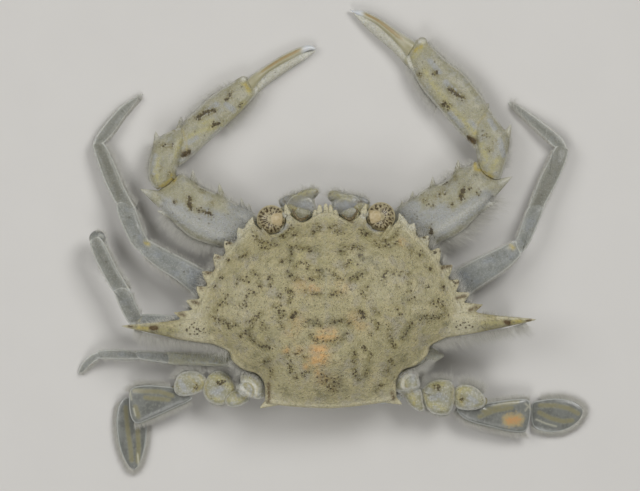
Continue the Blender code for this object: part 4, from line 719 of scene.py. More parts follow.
# Fringes of setae along lines of the photo, each to the right of its run as seen in the photo:
# line, levels at its ends, number of hairs, length and lean
FRINGES = {
    ("claw", "left"): [
        ([(252, 212), (240, 206), (213, 192), (188, 177), (177, 173)], (3.0, 3.0), 520, 0.75, 0.3),
        ([(164, 213), (177, 226), (190, 237), (207, 243.5), (235, 249)], (2.8, 2.8), 950, 1.7, -0.25),
        ([(154, 144), (150, 155), (148, 168), (150, 181)], (2.4, 2.6), 260, 0.6, -0.1),
        ([(232, 82), (211.5, 95), (195, 110), (182, 123)], (1.3, 1.9), 420, 0.7, -0.2),
        ([(226, 126), (240, 112), (250, 102), (257, 88)], (1.5, 1.2), 800, 0.85, -0.25),
    ],
    ("claw", "right"): [
        ([(474, 163), (458, 169), (436, 185), (415, 197), (400, 206)], (3.0, 3.0), 520, 0.75, -0.3),
        ([(432, 248), (442, 242), (465, 229), (475, 219), (494, 196)], (2.8, 2.8), 950, 1.7, 0.25),
        ([(504, 170), (507, 160), (509, 148), (508, 136)], (2.6, 2.4), 260, 0.6, 0.1),
        ([(484, 100), (475, 86), (463, 72), (447, 60), (428, 42)], (1.9, 1.3), 420, 0.7, 0.2),
        ([(409, 60), (416, 78), (425, 92), (438, 107)], (1.2, 1.5), 800, 0.85, 0.25),
    ],
    ("swimmer", "left"): [
        ([(171, 387.5), (150, 385.5), (137, 386.5), (129, 392)], (2.3, 1.5), 900, 0.55, 0.3),
        ([(134, 424), (146, 421), (160, 415), (175, 408), (190, 400)], (1.5, 2.2), 1100, 0.62, -0.35),
        ([(120.5, 402), (117, 410), (115.8, 425), (117.5, 441), (121.5, 456), (128, 468.5), (132.5, 471.5),
          (136.5, 469.5), (140.5, 462), (144, 450), (146, 434), (146, 404)], (0.4, 0.4), 2600, 0.42, 0.25),
        ([(204, 374.5), (196, 371), (188, 370.5), (181, 372.5), (175, 379)], (2.8, 2.6), 700, 0.8, 0.2),
        ([(231, 377), (225, 372), (218, 370), (210, 373.5)], (3.0, 3.0), 450, 0.55, 0.2),
        ([(246, 369), (242, 375), (239, 382), (237, 388)], (3.4, 3.2), 900, 0.8, 0.3),
        ([(208, 402), (219, 406), (229, 403)], (2.9, 2.9), 200, 0.3, 0.2),
    ],
    ("swimmer", "right"): [
        ([(530, 400), (518, 399), (502, 400.5), (487, 403)], (1.2, 2.0), 800, 0.4, -0.3),
        ([(456, 408), (461, 416), (471, 422), (491, 427.5), (511, 432.5), (526, 433)],
         (2.0, 1.2), 1300, 0.6, 0.35),
        ([(532, 428), (545, 432.5), (558, 433), (570, 429.5), (580, 422.5), (585, 413), (581.5, 405.5),
          (571, 400.5), (557, 398.5), (543, 400)], (0.4, 0.4), 2400, 0.42, 0.25),
        ([(484, 393), (475, 386.5), (467, 384), (459, 385)], (2.6, 2.7), 700, 1.0, -0.2),
        ([(452, 381), (442, 379), (433, 380.5), (426, 384)], (3.0, 3.0), 450, 0.8, -0.2),
        ([(421, 388), (419.5, 380), (418, 370)], (3.2, 3.4), 900, 0.9, -0.3),
        ([(424, 406), (431, 413), (440, 416), (449, 415)], (2.9, 2.9), 200, 0.3, 0.2),
    ],
    ("carapace", "left"): [
        ([(134, 331), (160, 338), (195, 342.5), (216, 345.5), (228, 350)], (5.3, 5.2), 1300, 1.25, -0.1),
        ([(176, 318), (160, 322), (140, 326)], (5.3, 5.4), 250, 0.45, 0.2),
        ([(240, 243), (226, 256), (214, 270), (206, 285), (198, 299), (188, 311)],
         (5.0, 4.9), 1100, 1.1, -0.2),
        ([(232, 360), (240, 369), (250, 373), (258, 378)], (5.0, 5.0), 700, 0.9, -0.2),
    ],
    ("carapace", "right"): [
        ([(432, 346), (440, 341), (470, 336.5), (505, 330), (526, 324)], (5.2, 5.3), 1300, 1.25, 0.1),
        ([(520, 319), (500, 316), (482, 312)], (5.4, 5.3), 250, 0.45, -0.2),
        ([(470, 306), (460, 294), (452, 281), (443, 266), (432, 251), (418, 238)],
         (4.9, 5.0), 1100, 1.1, 0.2),
        ([(400, 377), (408, 371), (418, 368), (428, 360)], (5.0, 5.0), 700, 0.9, 0.2),
    ],
    ("leg_2", "left"): [
        ([(141, 97), (131.5, 108), (122.5, 119), (113.5, 132.5), (106, 141)], (0.3, 1.1), 700, 0.75, -0.5),
        ([(96, 135), (108, 119), (120, 106), (134, 97)], (1.0, 0.3), 120, 0.2, 0.3),
        ([(136, 208), (123.5, 186), (110.5, 155), (106, 147)], (1.8, 1.3), 420, 0.7, 0.3),
        ([(92, 150), (103.5, 180), (115, 202)], (1.2, 1.8), 90, 0.3, 0.3),
        ([(147, 236), (143, 230), (137, 212)], (2.2, 1.9), 160, 0.45, 0.3),
        ([(212, 275), (185, 259), (152, 242)], (2.5, 2.3), 300, 0.5, 0.3),
        ([(142, 256), (160, 270), (188, 290), (200, 301)], (2.3, 2.5), 420, 0.6, 0.3),
    ],
    ("leg_2", "right"): [
        ([(557, 148), (545, 138), (533, 127), (521.5, 116), (512, 106)], (1.1, 0.3), 700, 0.75, 0.5),
        ([(515, 103), (531, 112.5), (547, 124.5), (562, 137)], (0.3, 1.0), 120, 0.2, -0.3),
        ([(529, 206), (541.5, 175), (553, 150)], (1.8, 1.3), 420, 0.7, 0.3),
        ([(568, 156), (553.5, 190.5), (545, 207)], (1.3, 1.8), 90, 0.3, 0.3),
        ([(516, 238), (522.5, 222), (528, 208)], (2.2, 1.9), 160, 0.45, 0.3),
        ([(450, 272), (480, 257), (512, 241.5)], (2.5, 2.3), 300, 0.5, 0.3),
        ([(519, 257), (507, 269.5), (480, 287.5), (464, 297)], (2.3, 2.5), 420, 0.6, 0.3),
    ],
    ("leg_3", "left"): [
        ([(131, 290), (117.5, 269), (104.5, 243.5)], (3.0, 3.1), 420, 0.6, 0.3),
        ([(91, 247), (98.5, 267), (110, 288)], (3.1, 3.0), 90, 0.3, 0.3),
        ([(142, 314), (135.5, 303), (132, 294)], (2.9, 3.0), 120, 0.4, 0.3),
        ([(106, 241), (107, 236), (103, 231), (96, 231)], (2.9, 2.9), 120, 0.25, 0.0),
    ],
    ("leg_4", "left"): [
        ([(97, 359), (125, 360), (146, 361), (166, 364), (195, 366.5), (230, 367)],
         (1.4, 2.5), 420, 0.45, 0.3),
        ([(228, 351.5), (195, 352), (160, 352), (124, 350), (98, 350.5)], (2.5, 1.4), 260, 0.35, 0.3),
        ([(79, 375), (87, 370), (97, 361)], (0.3, 1.1), 200, 0.3, 0.3),
    ],
    ("mouth", "left"): [
        ([(319, 193), (313, 187.5), (301, 191), (289, 195), (279, 201)], (3.9, 3.6), 450, 0.55, -0.2),
    ],
    ("mouth", "right"): [
        ([(370, 202), (360, 195.5), (347, 193), (334, 190.5), (328, 196)], (3.6, 3.9), 450, 0.55, 0.2),
    ],
}
FRINGE_SLOTS = {"claw": "claw", "swimmer": "paddle", "carapace": "shell", "mouth": "mouthpart",
                "leg_2": "leg", "leg_3": "leg", "leg_4": "leg"}
SEED = 7
HAIR_RADIUS = 0.011
HAIR_PATCH = 0.003
HAIR_SUNK = 0.15
HAIR_BEND = 0.25
HAIR_DRIFT = 0.35
HAIR_SAG = 0.1
HAIR_RINGS = ((0.0, 1.0), (0.4, 0.85), (0.75, 0.5))
HAIR_POINTS = 10

# Unevenness, depth and raggedness of flat fringes (True) and of the others
FLAT_LENGTH = 0.75
HAIR_SPREAD = {True: (0.08, 0.1, 0.07), False: (0.45, 0.5, 0.22)}

# Joints: reach and fullness of the membranes, and the gap and rounding of segments there
JOINT_REACH = 0.45
JOINT_FULLNESS = (0.8, 0.86, 0.8)
LEG_SLIMNESS = (0.62, 0.56)
SWIM_SLIMNESS = (0.7, 0.6)
HINGE_REACH = (0.55, 0.1)
JOINT_LINE = 0.05
NECK_ROUNDING = 0.3
COLLAR_ROUNDING = 0.14
ROOT_GAP = 0.18
WALL_STEP = 0.05

# Stage: name, place, size and power of each lamp, and the camera
LAMPS = [("key", (-0.16, -0.16, 0.30), 0.16, 0.62), ("fill", (0.20, -0.06, 0.24), 0.18, 0.3),
         ("back", (0.04, 0.22, 0.26), 0.16, 0.26)]
SKY_COLOUR = (1.0, 0.985, 0.96, 1.0)
SKY_STRENGTH = 0.2
FLOOR_SIZE = 4.0
CAMERA_LENS = 800.0
CAMERA_SENSOR = 36.0


# Curves
def unit(v):
    v = np.asarray(v, float)
    return v / np.maximum(np.linalg.norm(v, axis=-1, keepdims=True), TINY)


def through(points, count):
    """Evenly parted points on a smooth curve through the given ones."""
    points = np.asarray(points, float)
    padded = np.vstack([2 * points[0] - points[1], points, 2 * points[-1] - points[-2]])
    t = np.linspace(0, 1, CURVE_STEPS, endpoint=False)[:, None]
    fine = []
    for a, b, c, d in zip(padded, padded[1:], padded[2:], padded[3:]):
        fine.append(0.5 * (2 * b + (c - a) * t + (2 * a - 5 * b + 4 * c - d) * t * t
                           + (3 * b - a - 3 * c + d) * t ** 3))
    fine = np.vstack(fine + [points[-1:]])
    run = np.concatenate([[0], np.cumsum(np.linalg.norm(np.diff(fine, axis=0), axis=1))])
    places = np.linspace(0, run[-1], count)
    return np.stack([np.interp(places, run, column) for column in fine.T], axis=1)


def closed_through(corners, count):
    """Evenly parted points on a smooth closed curve through the corners."""
    around = np.vstack([corners[-2:], corners, corners[:3]])
    fine = through(around, 40 * len(around))
    first = np.argmin(np.linalg.norm(fine[:100] - corners[0], axis=1))
    last = len(fine) - 100 + np.argmin(np.linalg.norm(fine[-100:] - corners[0], axis=1))
    return through(fine[first:last + 1:4], count + 1)[:-1]


def at_shares(curve, shares):
    """Values of an evenly parted curve at shares of its length."""
    steps = np.linspace(0, 1, len(curve))
    return np.stack([np.interp(shares, steps, column) for column in curve.T], axis=1)


def closer_at_ends(rows):
    """Shares from 0 to 1 that lie closer together at both ends."""
    return (1 - np.cos(np.linspace(0, math.pi, rows))) / 2


def turns_round(sides):
    """Even angles round a ring, each in the middle of its side."""
    return 2 * math.pi * (np.arange(sides) + 0.5) / sides


def smooth_step(low, high, value):
    t = np.clip((value - low) / (high - low), 0, 1)
    return t * t * (3 - 2 * t)


def bell(value, middle, width):
    """1 at a middle value, falling off smoothly to both sides."""
    return np.exp(-((value - middle) / width) ** 2)


def eased(x, xs, ys):
    """A smooth curve through (xs, ys) that doesn't overshoot between its points."""
    xs, ys = np.asarray(xs, float), np.asarray(ys, float)
    steps = np.diff(ys) / np.diff(xs)
    slopes = np.concatenate([[steps[0]], (steps[:-1] + steps[1:]) / 2, [steps[-1]]])
    flat = np.concatenate([[False], steps[:-1] * steps[1:] <= 0, [False]])
    slopes[flat] = 0.0
    k = np.clip(np.searchsorted(xs, x) - 1, 0, len(xs) - 2)
    h = xs[k + 1] - xs[k]
    t = (x - xs[k]) / h
    return ((2 * t ** 3 - 3 * t ** 2 + 1) * ys[k] + (t ** 3 - 2 * t ** 2 + t) * h * slopes[k]
            + (3 * t ** 2 - 2 * t ** 3) * ys[k + 1] + (t ** 3 - t ** 2) * h * slopes[k + 1])


def polar_radius(line):
    """The distance of an outline from the carapace's middle, as a function of direction."""
    curve = through(line, POLAR_POINTS)
    x, y = curve[:, 0], curve[:, 1] - CENTRE_Y
    turn = np.arctan2(x, -y)
    order = np.argsort(turn)
    return lambda a: np.interp(a, turn[order], np.hypot(x, y)[order])


def oval(width, height, sides, power=2.3):
    """Offsets round a rounded oval: across and up."""
    turns = turns_round(sides)
    c, s = np.cos(turns), np.sin(turns)
    return np.stack([0.5 * width * np.sign(c) * abs(c) ** (2 / power),
                     0.5 * height * np.sign(s) * abs(s) ** (2 / power)], axis=1)


def end_rounding(shares, root, tip):
    """A share of the full section, from nearly nothing at both ends to all of it inside."""
    near = 1 - np.clip(shares / root, 0, 1)
    far = 1 - np.clip((1 - shares) / tip, 0, 1)
    ends = [(1 - away ** ROUNDING_POWER) ** (1 / ROUNDING_POWER) for away in (near, far)]
    return np.maximum(ends[0] * ends[1], SMALLEST_SECTION)


def mirrored(path, side):
    """A path of the left side on either side."""
    return [(SIGNS[side] * p[0], *p[1:]) for p in path]


def distance_to(points, line):
    """How far each point is from a line through some corners, or from a single one."""
    away = np.linalg.norm(points - line[0], axis=1)
    for a, b in zip(line, line[1:]):
        run = b - a
        along = np.clip((points - a) @ run / (run @ run), 0, 1)
        away = np.minimum(away, np.linalg.norm(points - a - along[:, None] * run, axis=1))
    return away


# Places and marks of the photo
def from_photo(pixels):
    """Where the photo's pixels lie in the crab's frame."""
    away = np.atleast_2d(pixels) - PHOTO_MIDDLE
    return PHOTO_STEP * (away[:, :1] * PHOTO_RIGHT + away[:, 1:2] * PHOTO_DOWN)


def at_level(pixel, level):
    """A place of the photo as a point of the crab's frame."""
    return np.append(from_photo(pixel)[0], level)


def painted(points, kind, widen=1.0):
    """How strongly each point bears a kind of marking, painted shade or painted light, seen from above."""
    total = np.zeros(len(points))
    for mark, reach, strength, lines in MARKS:
        if mark != kind:
            continue
        width = reach * PHOTO_STEP * widen
        for pixels in lines:
            line = from_photo(pixels)
            low, high = line.min(axis=0) - 2 * width, line.max(axis=0) + 2 * width
            inside = np.all((points[:, :2] > low) & (points[:, :2] < high), axis=1)
            near = np.where(inside)[0]
            if len(near):
                here = strength * bell(distance_to(points[near, :2], line), 0, 0.75 * width)
                total[near] = np.maximum(total[near], here)
    return total


def marks_from_photo(points):
    marks = {kind: painted(points, kind) for kind in MARK_KINDS}
    marks["olive"] = np.maximum(painted(points, "dots", 1.5), painted(points, "spot", 1.9))
    return marks


def outline_rim(kind, outline, points):
    """A pale rim along an outline of the photo."""
    strength, far, near = RIMS[kind]
    line = closed_through(from_photo(outline), RIM_POINTS)
    away = distance_to(points[:, :2], np.vstack([line, line[:1]]))
    return strength * smooth_step(far, near, away)


# Skins
class Skin:
    """A closed form as a grid of points: rows from its root to its tip, columns round it."""

    def __init__(self, rings, shares=None):
        self.grid = np.asarray(rings, float)
        self.shares = np.linspace(0, 1, len(self.grid)) if shares is None else shares

    def faces(self):
        rows, columns = self.grid.shape[:2]
        here = np.arange(rows * columns).reshape(rows, columns)
        beside = np.roll(here, -1, axis=1)
        quads = np.stack([here[:-1], beside[:-1], beside[1:], here[1:]], axis=-1).reshape(-1, 4)
        first, last = rows * columns, rows * columns + 1
        caps = [(first, b, a) for a, b in zip(here[0], beside[0])]
        caps += [(last, a, b) for a, b in zip(here[-1], beside[-1])]
        return [tuple(q) for q in quads.tolist()] + caps

    def vertices(self):
        ends = np.stack([self.grid[0].mean(axis=0), self.grid[-1].mean(axis=0)])
        return np.vstack([self.grid.reshape(-1, 3), ends])

    def share(self):
        """How far along each vertex lies, from 0 at the root to 1 at the tip."""
        return np.append(np.repeat(self.shares, self.grid.shape[1]), [0.0, 1.0])

    def turn(self):
        """How far round each vertex lies, as an angle from the across direction."""
        turns = turns_round(self.grid.shape[1])
        return np.append(np.tile(turns, len(self.grid)), [0.0, 0.0])

    def sides(self):
        """1 along the form's two sides, falling off steeply above and below."""
        return np.abs(np.cos(self.turn())) ** 5


class Segment(Skin):
    """One straight segment of a limb, cut off by the planes of the joints at its ends."""

    def __init__(self, start, end, normal_in, normal_out, shape, grooved=False):
        self.start, self.axis = start, unit(end - start)
        self.across = unit(np.cross(self.axis, (0, 0, 1)))
        self.length = np.linalg.norm(end - start)
        self.knots, self.widths, heights = np.transpose(shape)
        up = np.cross(self.across, self.axis)
        shares = closer_at_ends(SEGMENT_ROWS)
        turns = turns_round(SEGMENT_SIDES)
        ends = end_rounding(shares, NECK_ROUNDING / self.length, COLLAR_ROUNDING / self.length)
        rings = []
        for share, width, height, end_share in zip(shares, eased(shares, self.knots, self.widths),
                                                   eased(shares, self.knots, heights), ends):
            offsets = oval(width, height, SEGMENT_SIDES) * end_share
            if grooved:
                depth = GROOVE_DEPTH * math.sin(math.pi * share)
                offsets = offsets * (1 - depth * bell(np.abs(np.sin(turns)), 0.93, 0.08))[:, None]
            offset = offsets[:, :1] * self.across + offsets[:, 1:] * up
            first = (JOINT_LINE / 2 - offset @ normal_in) / (self.axis @ normal_in)
            last = self.length - (JOINT_LINE / 2 + offset @ normal_out) / (self.axis @ normal_out)
            along = first + (last - first) * share
            rings.append(start + along[:, None] * self.axis + offset)
        super().__init__(rings, shares)

    def marks(self, points):
        """Yellow-brown hinges at both ends and pale edges along both sides."""
        away = points - self.start
        share = away @ self.axis / self.length
        half = eased(np.clip(share, 0, 1), self.knots, self.widths) / 2
        near = np.minimum(share, 1 - share) * self.length
        return {"joint": smooth_step(*HINGE_REACH, near),
                "pale": SIDES_PALE * smooth_step(0.6, 1.0, np.abs(away @ self.across) / half)}


class Plate(Skin):
    """A flat, domed form inside an outline drawn on the photo, level from start to end."""

    def __init__(self, kind, outline, start, end, thickness):
        sides, rows, power = PLATES[kind]
        line = closed_through(from_photo(outline), sides)
        middle = line.mean(axis=0)
        reach = np.sin(np.linspace(0.03, math.pi / 2, rows // 2))
        self.reach = np.concatenate([reach, reach[-2::-1]])
        rim = rows // 2 - 1
        run = end[:2] - start[:2]
        rings = []
        for k, r in enumerate(self.reach):
            points = middle + (line - middle) * r
            share = (points - start[:2]) @ run / (run @ run)
            height = 0.5 * thickness * (1 - r ** power) ** (1 / 2.2) * (1 if k < rim else -1)
            rings.append(np.column_stack([points, start[2] + (end[2] - start[2]) * share + height]))
        super().__init__(rings)

    def inner(self):
        """For each vertex, 0 at the plate's middle and 1 at its rim."""
        return np.append(np.repeat(self.reach, self.grid.shape[1]), [0.0, 0.0])


def drawn(kind, outline, level, thickness, slope=0.0):
    """A plate at its own level, or sloping from the outline's first place to its middle one."""
    start = at_level(outline[0], level + slope)
    end = at_level(outline[len(outline) // 2], level - slope)
    return Plate(kind, outline, start, end, thickness)


def path_skin(path, sizes, rows=36, sides=24, first_normal=None, power=2.3, blunt=0.04, tip=0.04):
    """A skin along a curved path, with sizes given at even steps and rounded ends."""
    shares = closer_at_ends(rows)
    points = at_shares(through(path, CURVE_POINTS), shares)
    ahead = unit(np.gradient(points, axis=0))
    if first_normal is not None:
        ahead[0] = unit(first_normal)
    steps = np.linspace(0, 1, len(sizes))
    widths, heights = (eased(shares, steps, column) for column in np.transpose(sizes))
    ends = end_rounding(shares, blunt, tip)
    side = np.cross(ahead[0], (0, 0, 1))
    rings = []
    for point, forward, width, height, end in zip(points, ahead, widths, heights, ends):
        side = unit(side - forward * (side @ forward))
        up = np.cross(side, forward)
        offsets = oval(width, height, sides, power) * end
        rings.append(point + offsets[:, :1] * side + offsets[:, 1:] * up)
    return Skin(rings, shares)


def spine(root, tip, radius, flat=1.0, bow=(0, 0, 0), rows=16, sides=16):
    """A pointed, slightly bowed spine, pressed flat by a share."""
    root, tip = np.asarray(root, float), np.asarray(tip, float)
    middle = (root + tip) / 2 + np.asarray(bow, float)
    axis = unit(tip - root)
    side = unit(np.cross(axis, (0, 0, 1)))
    up = np.cross(side, axis)
    turns = turns_round(sides)
    ring = np.cos(turns)[:, None] * side + np.sin(turns)[:, None] * up * flat
    rings = []
    for t in np.linspace(0, 1, rows):
        point = (1 - t) ** 2 * root + 2 * t * (1 - t) * middle + t * t * tip
        rings.append(point + ring * max(radius * (1 - t) ** 0.9, 0.03))
    return Skin(rings)


def blunt_tooth(root, tip, radius):
    """A rounded tooth, narrower towards its tip."""
    sizes = [(2.6 * radius, 1.5 * radius), (2.2 * radius, 1.5 * radius), (1.4 * radius, 1.2 * radius)]
    return path_skin([root, (root + tip) / 2, tip], sizes, 44, 32, tip=0.24)


def globe(middle, radius, height, rows, sides, pole, rim=0.0):
    """A ball pressed flat from above, open by a small angle at its poles, with a raised rim."""
    slopes = np.linspace(pole, math.pi - pole, rows)[:, None]
    turns = (2 * math.pi * np.arange(sides) / sides)[None, :]
    across = np.sin(slopes) * radius * (1 + rim * bell(slopes, 1.25, 0.12))
    rings = np.stack([np.cos(turns) * across, np.sin(turns) * across,
                      np.cos(slopes) * height + 0 * turns], axis=-1)
    return Skin(middle + rings)


def form(skin):
    return skin.vertices(), skin.faces()


# Meshes
def joined(parts):
    """Vertices and faces of several forms as one."""
    vertices, faces, count = [], [], 0
    for points, polygons in parts:
        vertices.append(points)
        faces += [tuple(count + k for k in polygon) for polygon in polygons]
        count += len(points)
    return np.vstack(vertices), faces


def raw_mesh(name, vertices, faces):
    mesh = bpy.data.meshes.new(name)
    mesh.from_pydata(np.asarray(vertices).tolist(), [], faces)
    mesh.update()
    return mesh


def fused(name, parts, voxel, relax):
    """One closed surface round several forms that reach into one another, in millimetres."""
    vertices, faces = joined(parts)
    mesh = raw_mesh(name, vertices, faces)
    holder = bpy.data.objects.new(name, mesh)
    bpy.context.scene.collection.objects.link(holder)
    remesh = holder.modifiers.new("fused", "REMESH")
    remesh.mode = "VOXEL"
    remesh.voxel_size = voxel
    evaluated = holder.evaluated_get(bpy.context.evaluated_depsgraph_get())
    made = bpy.data.meshes.new_from_object(evaluated)
    points = np.empty(len(made.vertices) * 3)
    made.vertices.foreach_get("co", points)
    points = points.reshape(-1, 3)
    edges = np.empty(len(made.edges) * 2, int)
    made.edges.foreach_get("vertices", edges)
    points = relaxed(points, edges.reshape(-1, 2), relax)
    polygons = [tuple(p.vertices) for p in made.polygons]
    bpy.data.objects.remove(holder)
    bpy.data.meshes.remove(mesh)
    bpy.data.meshes.remove(made)
    return points, polygons


def relaxed(points, edges, rounds):
    """Points moved half way to the mean of their neighbours, some rounds over."""
    links = np.bincount(edges.ravel(), minlength=len(points))[:, None]
    for _ in range(rounds):
        total = np.zeros_like(points)
        np.add.at(total, edges[:, 0], points[edges[:, 1]])
        np.add.at(total, edges[:, 1], points[edges[:, 0]])
        points = 0.5 * points + 0.5 * total / links
    return points


def piece(name, vertices, faces, material, slot, nodes=(), marks=None):
    """A finished piece in the model's frame, with its marks as attributes."""
    placed = (np.asarray(vertices) + SHIFT) * MM
    placed[:, 2] = np.maximum(placed[:, 2], 0.0)
    mesh = raw_mesh(name, placed, faces)
    for mark, values in (marks or {}).items():
        layer = mesh.attributes.new(mark, "FLOAT", "POINT")
        layer.data.foreach_set("value", np.asarray(values, np.float32))
    bm = bmesh.new()
    bm.from_mesh(mesh)
    bmesh.ops.recalc_face_normals(bm, faces=bm.faces)
    bm.to_mesh(mesh)
    bm.free()
    mesh.shade_smooth()
    mesh.materials.append(MATERIALS[material])
    obj = bpy.data.objects.new(name, mesh)
    bpy.context.scene.collection.objects.link(obj)
    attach(obj, "root")
    if nodes:
        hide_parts(*nodes)
    return obj


# Materials
def rgb(red, green, blue):
    """A colour of the photo, from 0 to 255, as Blender's linear colour."""
    def linear(c):
        c = c / 255
        return c / 12.92 if c < 0.04045 else ((c + 0.055) / 1.055) ** 2.4
    return linear(red), linear(green), linear(blue), 1.0


class Paint:
    """A procedural material in the making, with its patterns in millimetres."""

    def __init__(self, name, roughness, subsurface=0.0, coat=0.0):
        self.material = bpy.data.materials.new(name)
        self.material.use_nodes = True
        self.tree = self.material.node_tree
        self.shader = self.tree.nodes["Principled BSDF"]
        self.set("Roughness", roughness)
        self.set("Subsurface Weight", subsurface)
        self.set("Subsurface Radius", (1.0, 0.8, 0.55))
        self.set("Subsurface Scale", 0.4 * MM)
        self.set("Coat Weight", coat)
        self.set("Coat Roughness", 0.2)
        scaled = self.tree.nodes.new("ShaderNodeVectorMath")
        scaled.operation = "SCALE"
        scaled.inputs["Scale"].default_value = 1 / MM
        self.put(scaled.inputs[0], self.tree.nodes.new("ShaderNodeTexCoord").outputs["Object"])
        self.place = scaled.outputs[0]

    def put(self, socket, value):
        if isinstance(value, bpy.types.NodeSocket):
            self.tree.links.new(value, socket)
        else:
            socket.default_value = value

    def set(self, name, value):
        self.put(self.shader.inputs[name], value)

    def noise(self, size, detail=3.0, place=None, colour=False):
        node = self.tree.nodes.new("ShaderNodeTexNoise")
        self.put(node.inputs["Vector"], place or self.place)
        node.inputs["Scale"].default_value = 1 / size
        node.inputs["Detail"].default_value = detail
        return node.outputs["Color" if colour else "Fac"]

    def cells(self, size, place=None):
        node = self.tree.nodes.new("ShaderNodeTexVoronoi")
        self.put(node.inputs["Vector"], place or self.place)
        node.inputs["Scale"].default_value = 1 / size
        return node

    def math(self, operation, a, b):
        node = self.tree.nodes.new("ShaderNodeMath")
        node.operation = operation
        self.put(node.inputs[0], a)
        self.put(node.inputs[1], b)
        return node.outputs[0]

    def ramp(self, value, low, high, start=0.0, end=1.0):
        node = self.tree.nodes.new("ShaderNodeMapRange")
        node.interpolation_type = "SMOOTHSTEP"
        self.put(node.inputs["Value"], value)
        for name, limit in (("From Min", low), ("From Max", high), ("To Min", start), ("To Max", end)):
            node.inputs[name].default_value = limit
        return node.outputs["Result"]

    def mix(self, factor, a, b):
        node = self.tree.nodes.new("ShaderNodeMix")
        node.data_type = "RGBA"
        self.put(node.inputs[0], factor)
        self.put(node.inputs[6], a)
        self.put(node.inputs[7], b)
        return node.outputs[2]

    def mark(self, name):
        node = self.tree.nodes.new("ShaderNodeAttribute")
        node.attribute_name = name
        return node.outputs["Fac"]

    def warped(self, size, reach):
        """Places moved about by a noise, so that patterns lose their regularity."""
        shift = self.tree.nodes.new("ShaderNodeVectorMath")
        shift.operation = "MULTIPLY_ADD"
        self.put(shift.inputs[0], self.noise(size, 2.0, colour=True))
        shift.inputs[1].default_value = (reach, reach, reach)
        self.put(shift.inputs[2], self.place)
        return shift.outputs[0]

    def bump(self, height, distance, strength=1.0, over=None):
        node = self.tree.nodes.new("ShaderNodeBump")
        node.inputs["Strength"].default_value = strength
        node.inputs["Distance"].default_value = distance * MM
        self.put(node.inputs["Height"], height)
        if over is not None:
            self.put(node.inputs["Normal"], over)
        return node.outputs["Normal"]

    def mottled(self, colour, tint, size, detail=4.0, low=0.35, high=0.65, strength=1.0, place=None):
        """A colour with clouds of another, where a noise rises from low to high."""
        clouds = self.ramp(self.noise(size, detail, place), low, high, 0.0, strength)
        return self.mix(clouds, colour, rgb(*tint))

    def stained(self, colour, mark, strength, tint, noise=None):
        """A colour under the stain of a mark, which a noise may break up."""
        share = self.mark(mark)
        if noise:
            size, detail, low, high = noise
            share = self.math("MULTIPLY", share, self.ramp(self.noise(size, detail), low, high))
        return self.mix(self.math("MULTIPLY", share, strength), colour, rgb(*tint))

    def finished(self, colour, size, depth):
        """The material with its colour and a fine relief."""
        self.set("Base Color", colour)
        self.set("Normal", self.bump(self.noise(size), depth))
        return self.material


# Stains of the shell under and over its grains, with the painted shade of the shade mark among them: mark,
# strength, colour, and the size, detail and limits of the noise that breaks it up
LOW_STAINS = [
    ("olive", 0.85, (118, 108, 60), (0.25, 4.0, 0.34, 0.56)),
    ("smear", 0.65, (104, 101, 70), (0.4, 4.0, 0.3, 0.62)),
    ("streak", 0.6, (174, 172, 150)),
    # Painted shade, in a dark olive-brown
    ("shade", 0.6, (104, 101, 80)),
    ("edge", 1.0, (168, 169, 160)),
]
HIGH_STAINS = [
    ("brown", 0.85, (84, 64, 28), (0.2, 3.0, 0.25, 0.5)),
    ("orange", 0.85, (212, 168, 108), (0.5, 5.0, 0.25, 0.6)),
    ("gold", 0.85, (182, 165, 84), (0.3, 3.0, 0.15, 0.55)),
]
SMOKE = (161, 163, 163)
STRAW = (180, 172, 112)
DOT = (66, 54, 26)


def cuticle(name, base, second, patch, pale, roughness=0.48, grain=0.2, bump=0.03, stray=0.01,
            coat=0.1, speck=0.35, hinge=(172, 160, 104), cloud=(150, 148, 136)):
    """A crab's shell: mottled, finely granulate and marked with dots, spots and stains, with painted shade
    and painted light in places.
    """
    paint = Paint(name, roughness, 0.15, coat)
    colour = paint.mottled(rgb(*base), second, 1.3, low=0.4, high=0.6)
    colour = paint.mottled(colour, cloud, 1.3, 4.0, 0.48, 0.66, 0.7, paint.warped(0.9, 0.5))
    colour = paint.mottled(colour, patch, 0.5, 4.0, 0.5, 0.66, 0.6, paint.warped(0.45, 0.3))
    colour = paint.mottled(colour, patch, 0.2, 3.0, 0.5, 0.68, 0.4)
    colour = paint.mix(paint.ramp(paint.mark("smoke"), 0.0, 0.7, 0.0, 0.85), colour, rgb(*SMOKE))
    for stain in LOW_STAINS:
        colour = paint.stained(colour, *stain)
    # The white mark is partly real white rims and partly painted light, on sides that turn away from the
    # lamps and on the stub in the carapace's shadow
    light_mark = paint.math("MAXIMUM", paint.mark("pale"), paint.mark("white"))
    colour = paint.mix(light_mark, colour, rgb(*pale))
    colour = paint.stained(colour, "straw", 0.8, STRAW, (0.3, 3.0, 0.2, 0.6))
    grains = paint.cells(grain).outputs["Distance"]
    light = paint.ramp(grains, 0.45, 0.1)
    colour = paint.mix(paint.math("MULTIPLY", light, speck), colour, rgb(*pale))
    colour = paint.mix(paint.ramp(grains, 0.5, 0.75, 0.0, speck), colour, rgb(*patch))
    for stain in HIGH_STAINS:
        colour = paint.stained(colour, *stain)
    colour = paint.stained(colour, "joint", 1.0, hinge, (0.4, 3.0, 0.25, 0.75))
    colour = paint.mix(paint.math("MULTIPLY", dots(paint, stray), 0.9), colour, rgb(*DOT))
    paint.set("Base Color", colour)
    paint.set("Roughness", paint.ramp(paint.noise(0.5), 0.3, 0.7, roughness - 0.1, roughness + 0.1))
    paint.set("Normal", paint.bump(paint.noise(0.4, 5.0), bump * 2.5, 0.8, paint.bump(light, bump)))
    return paint.material


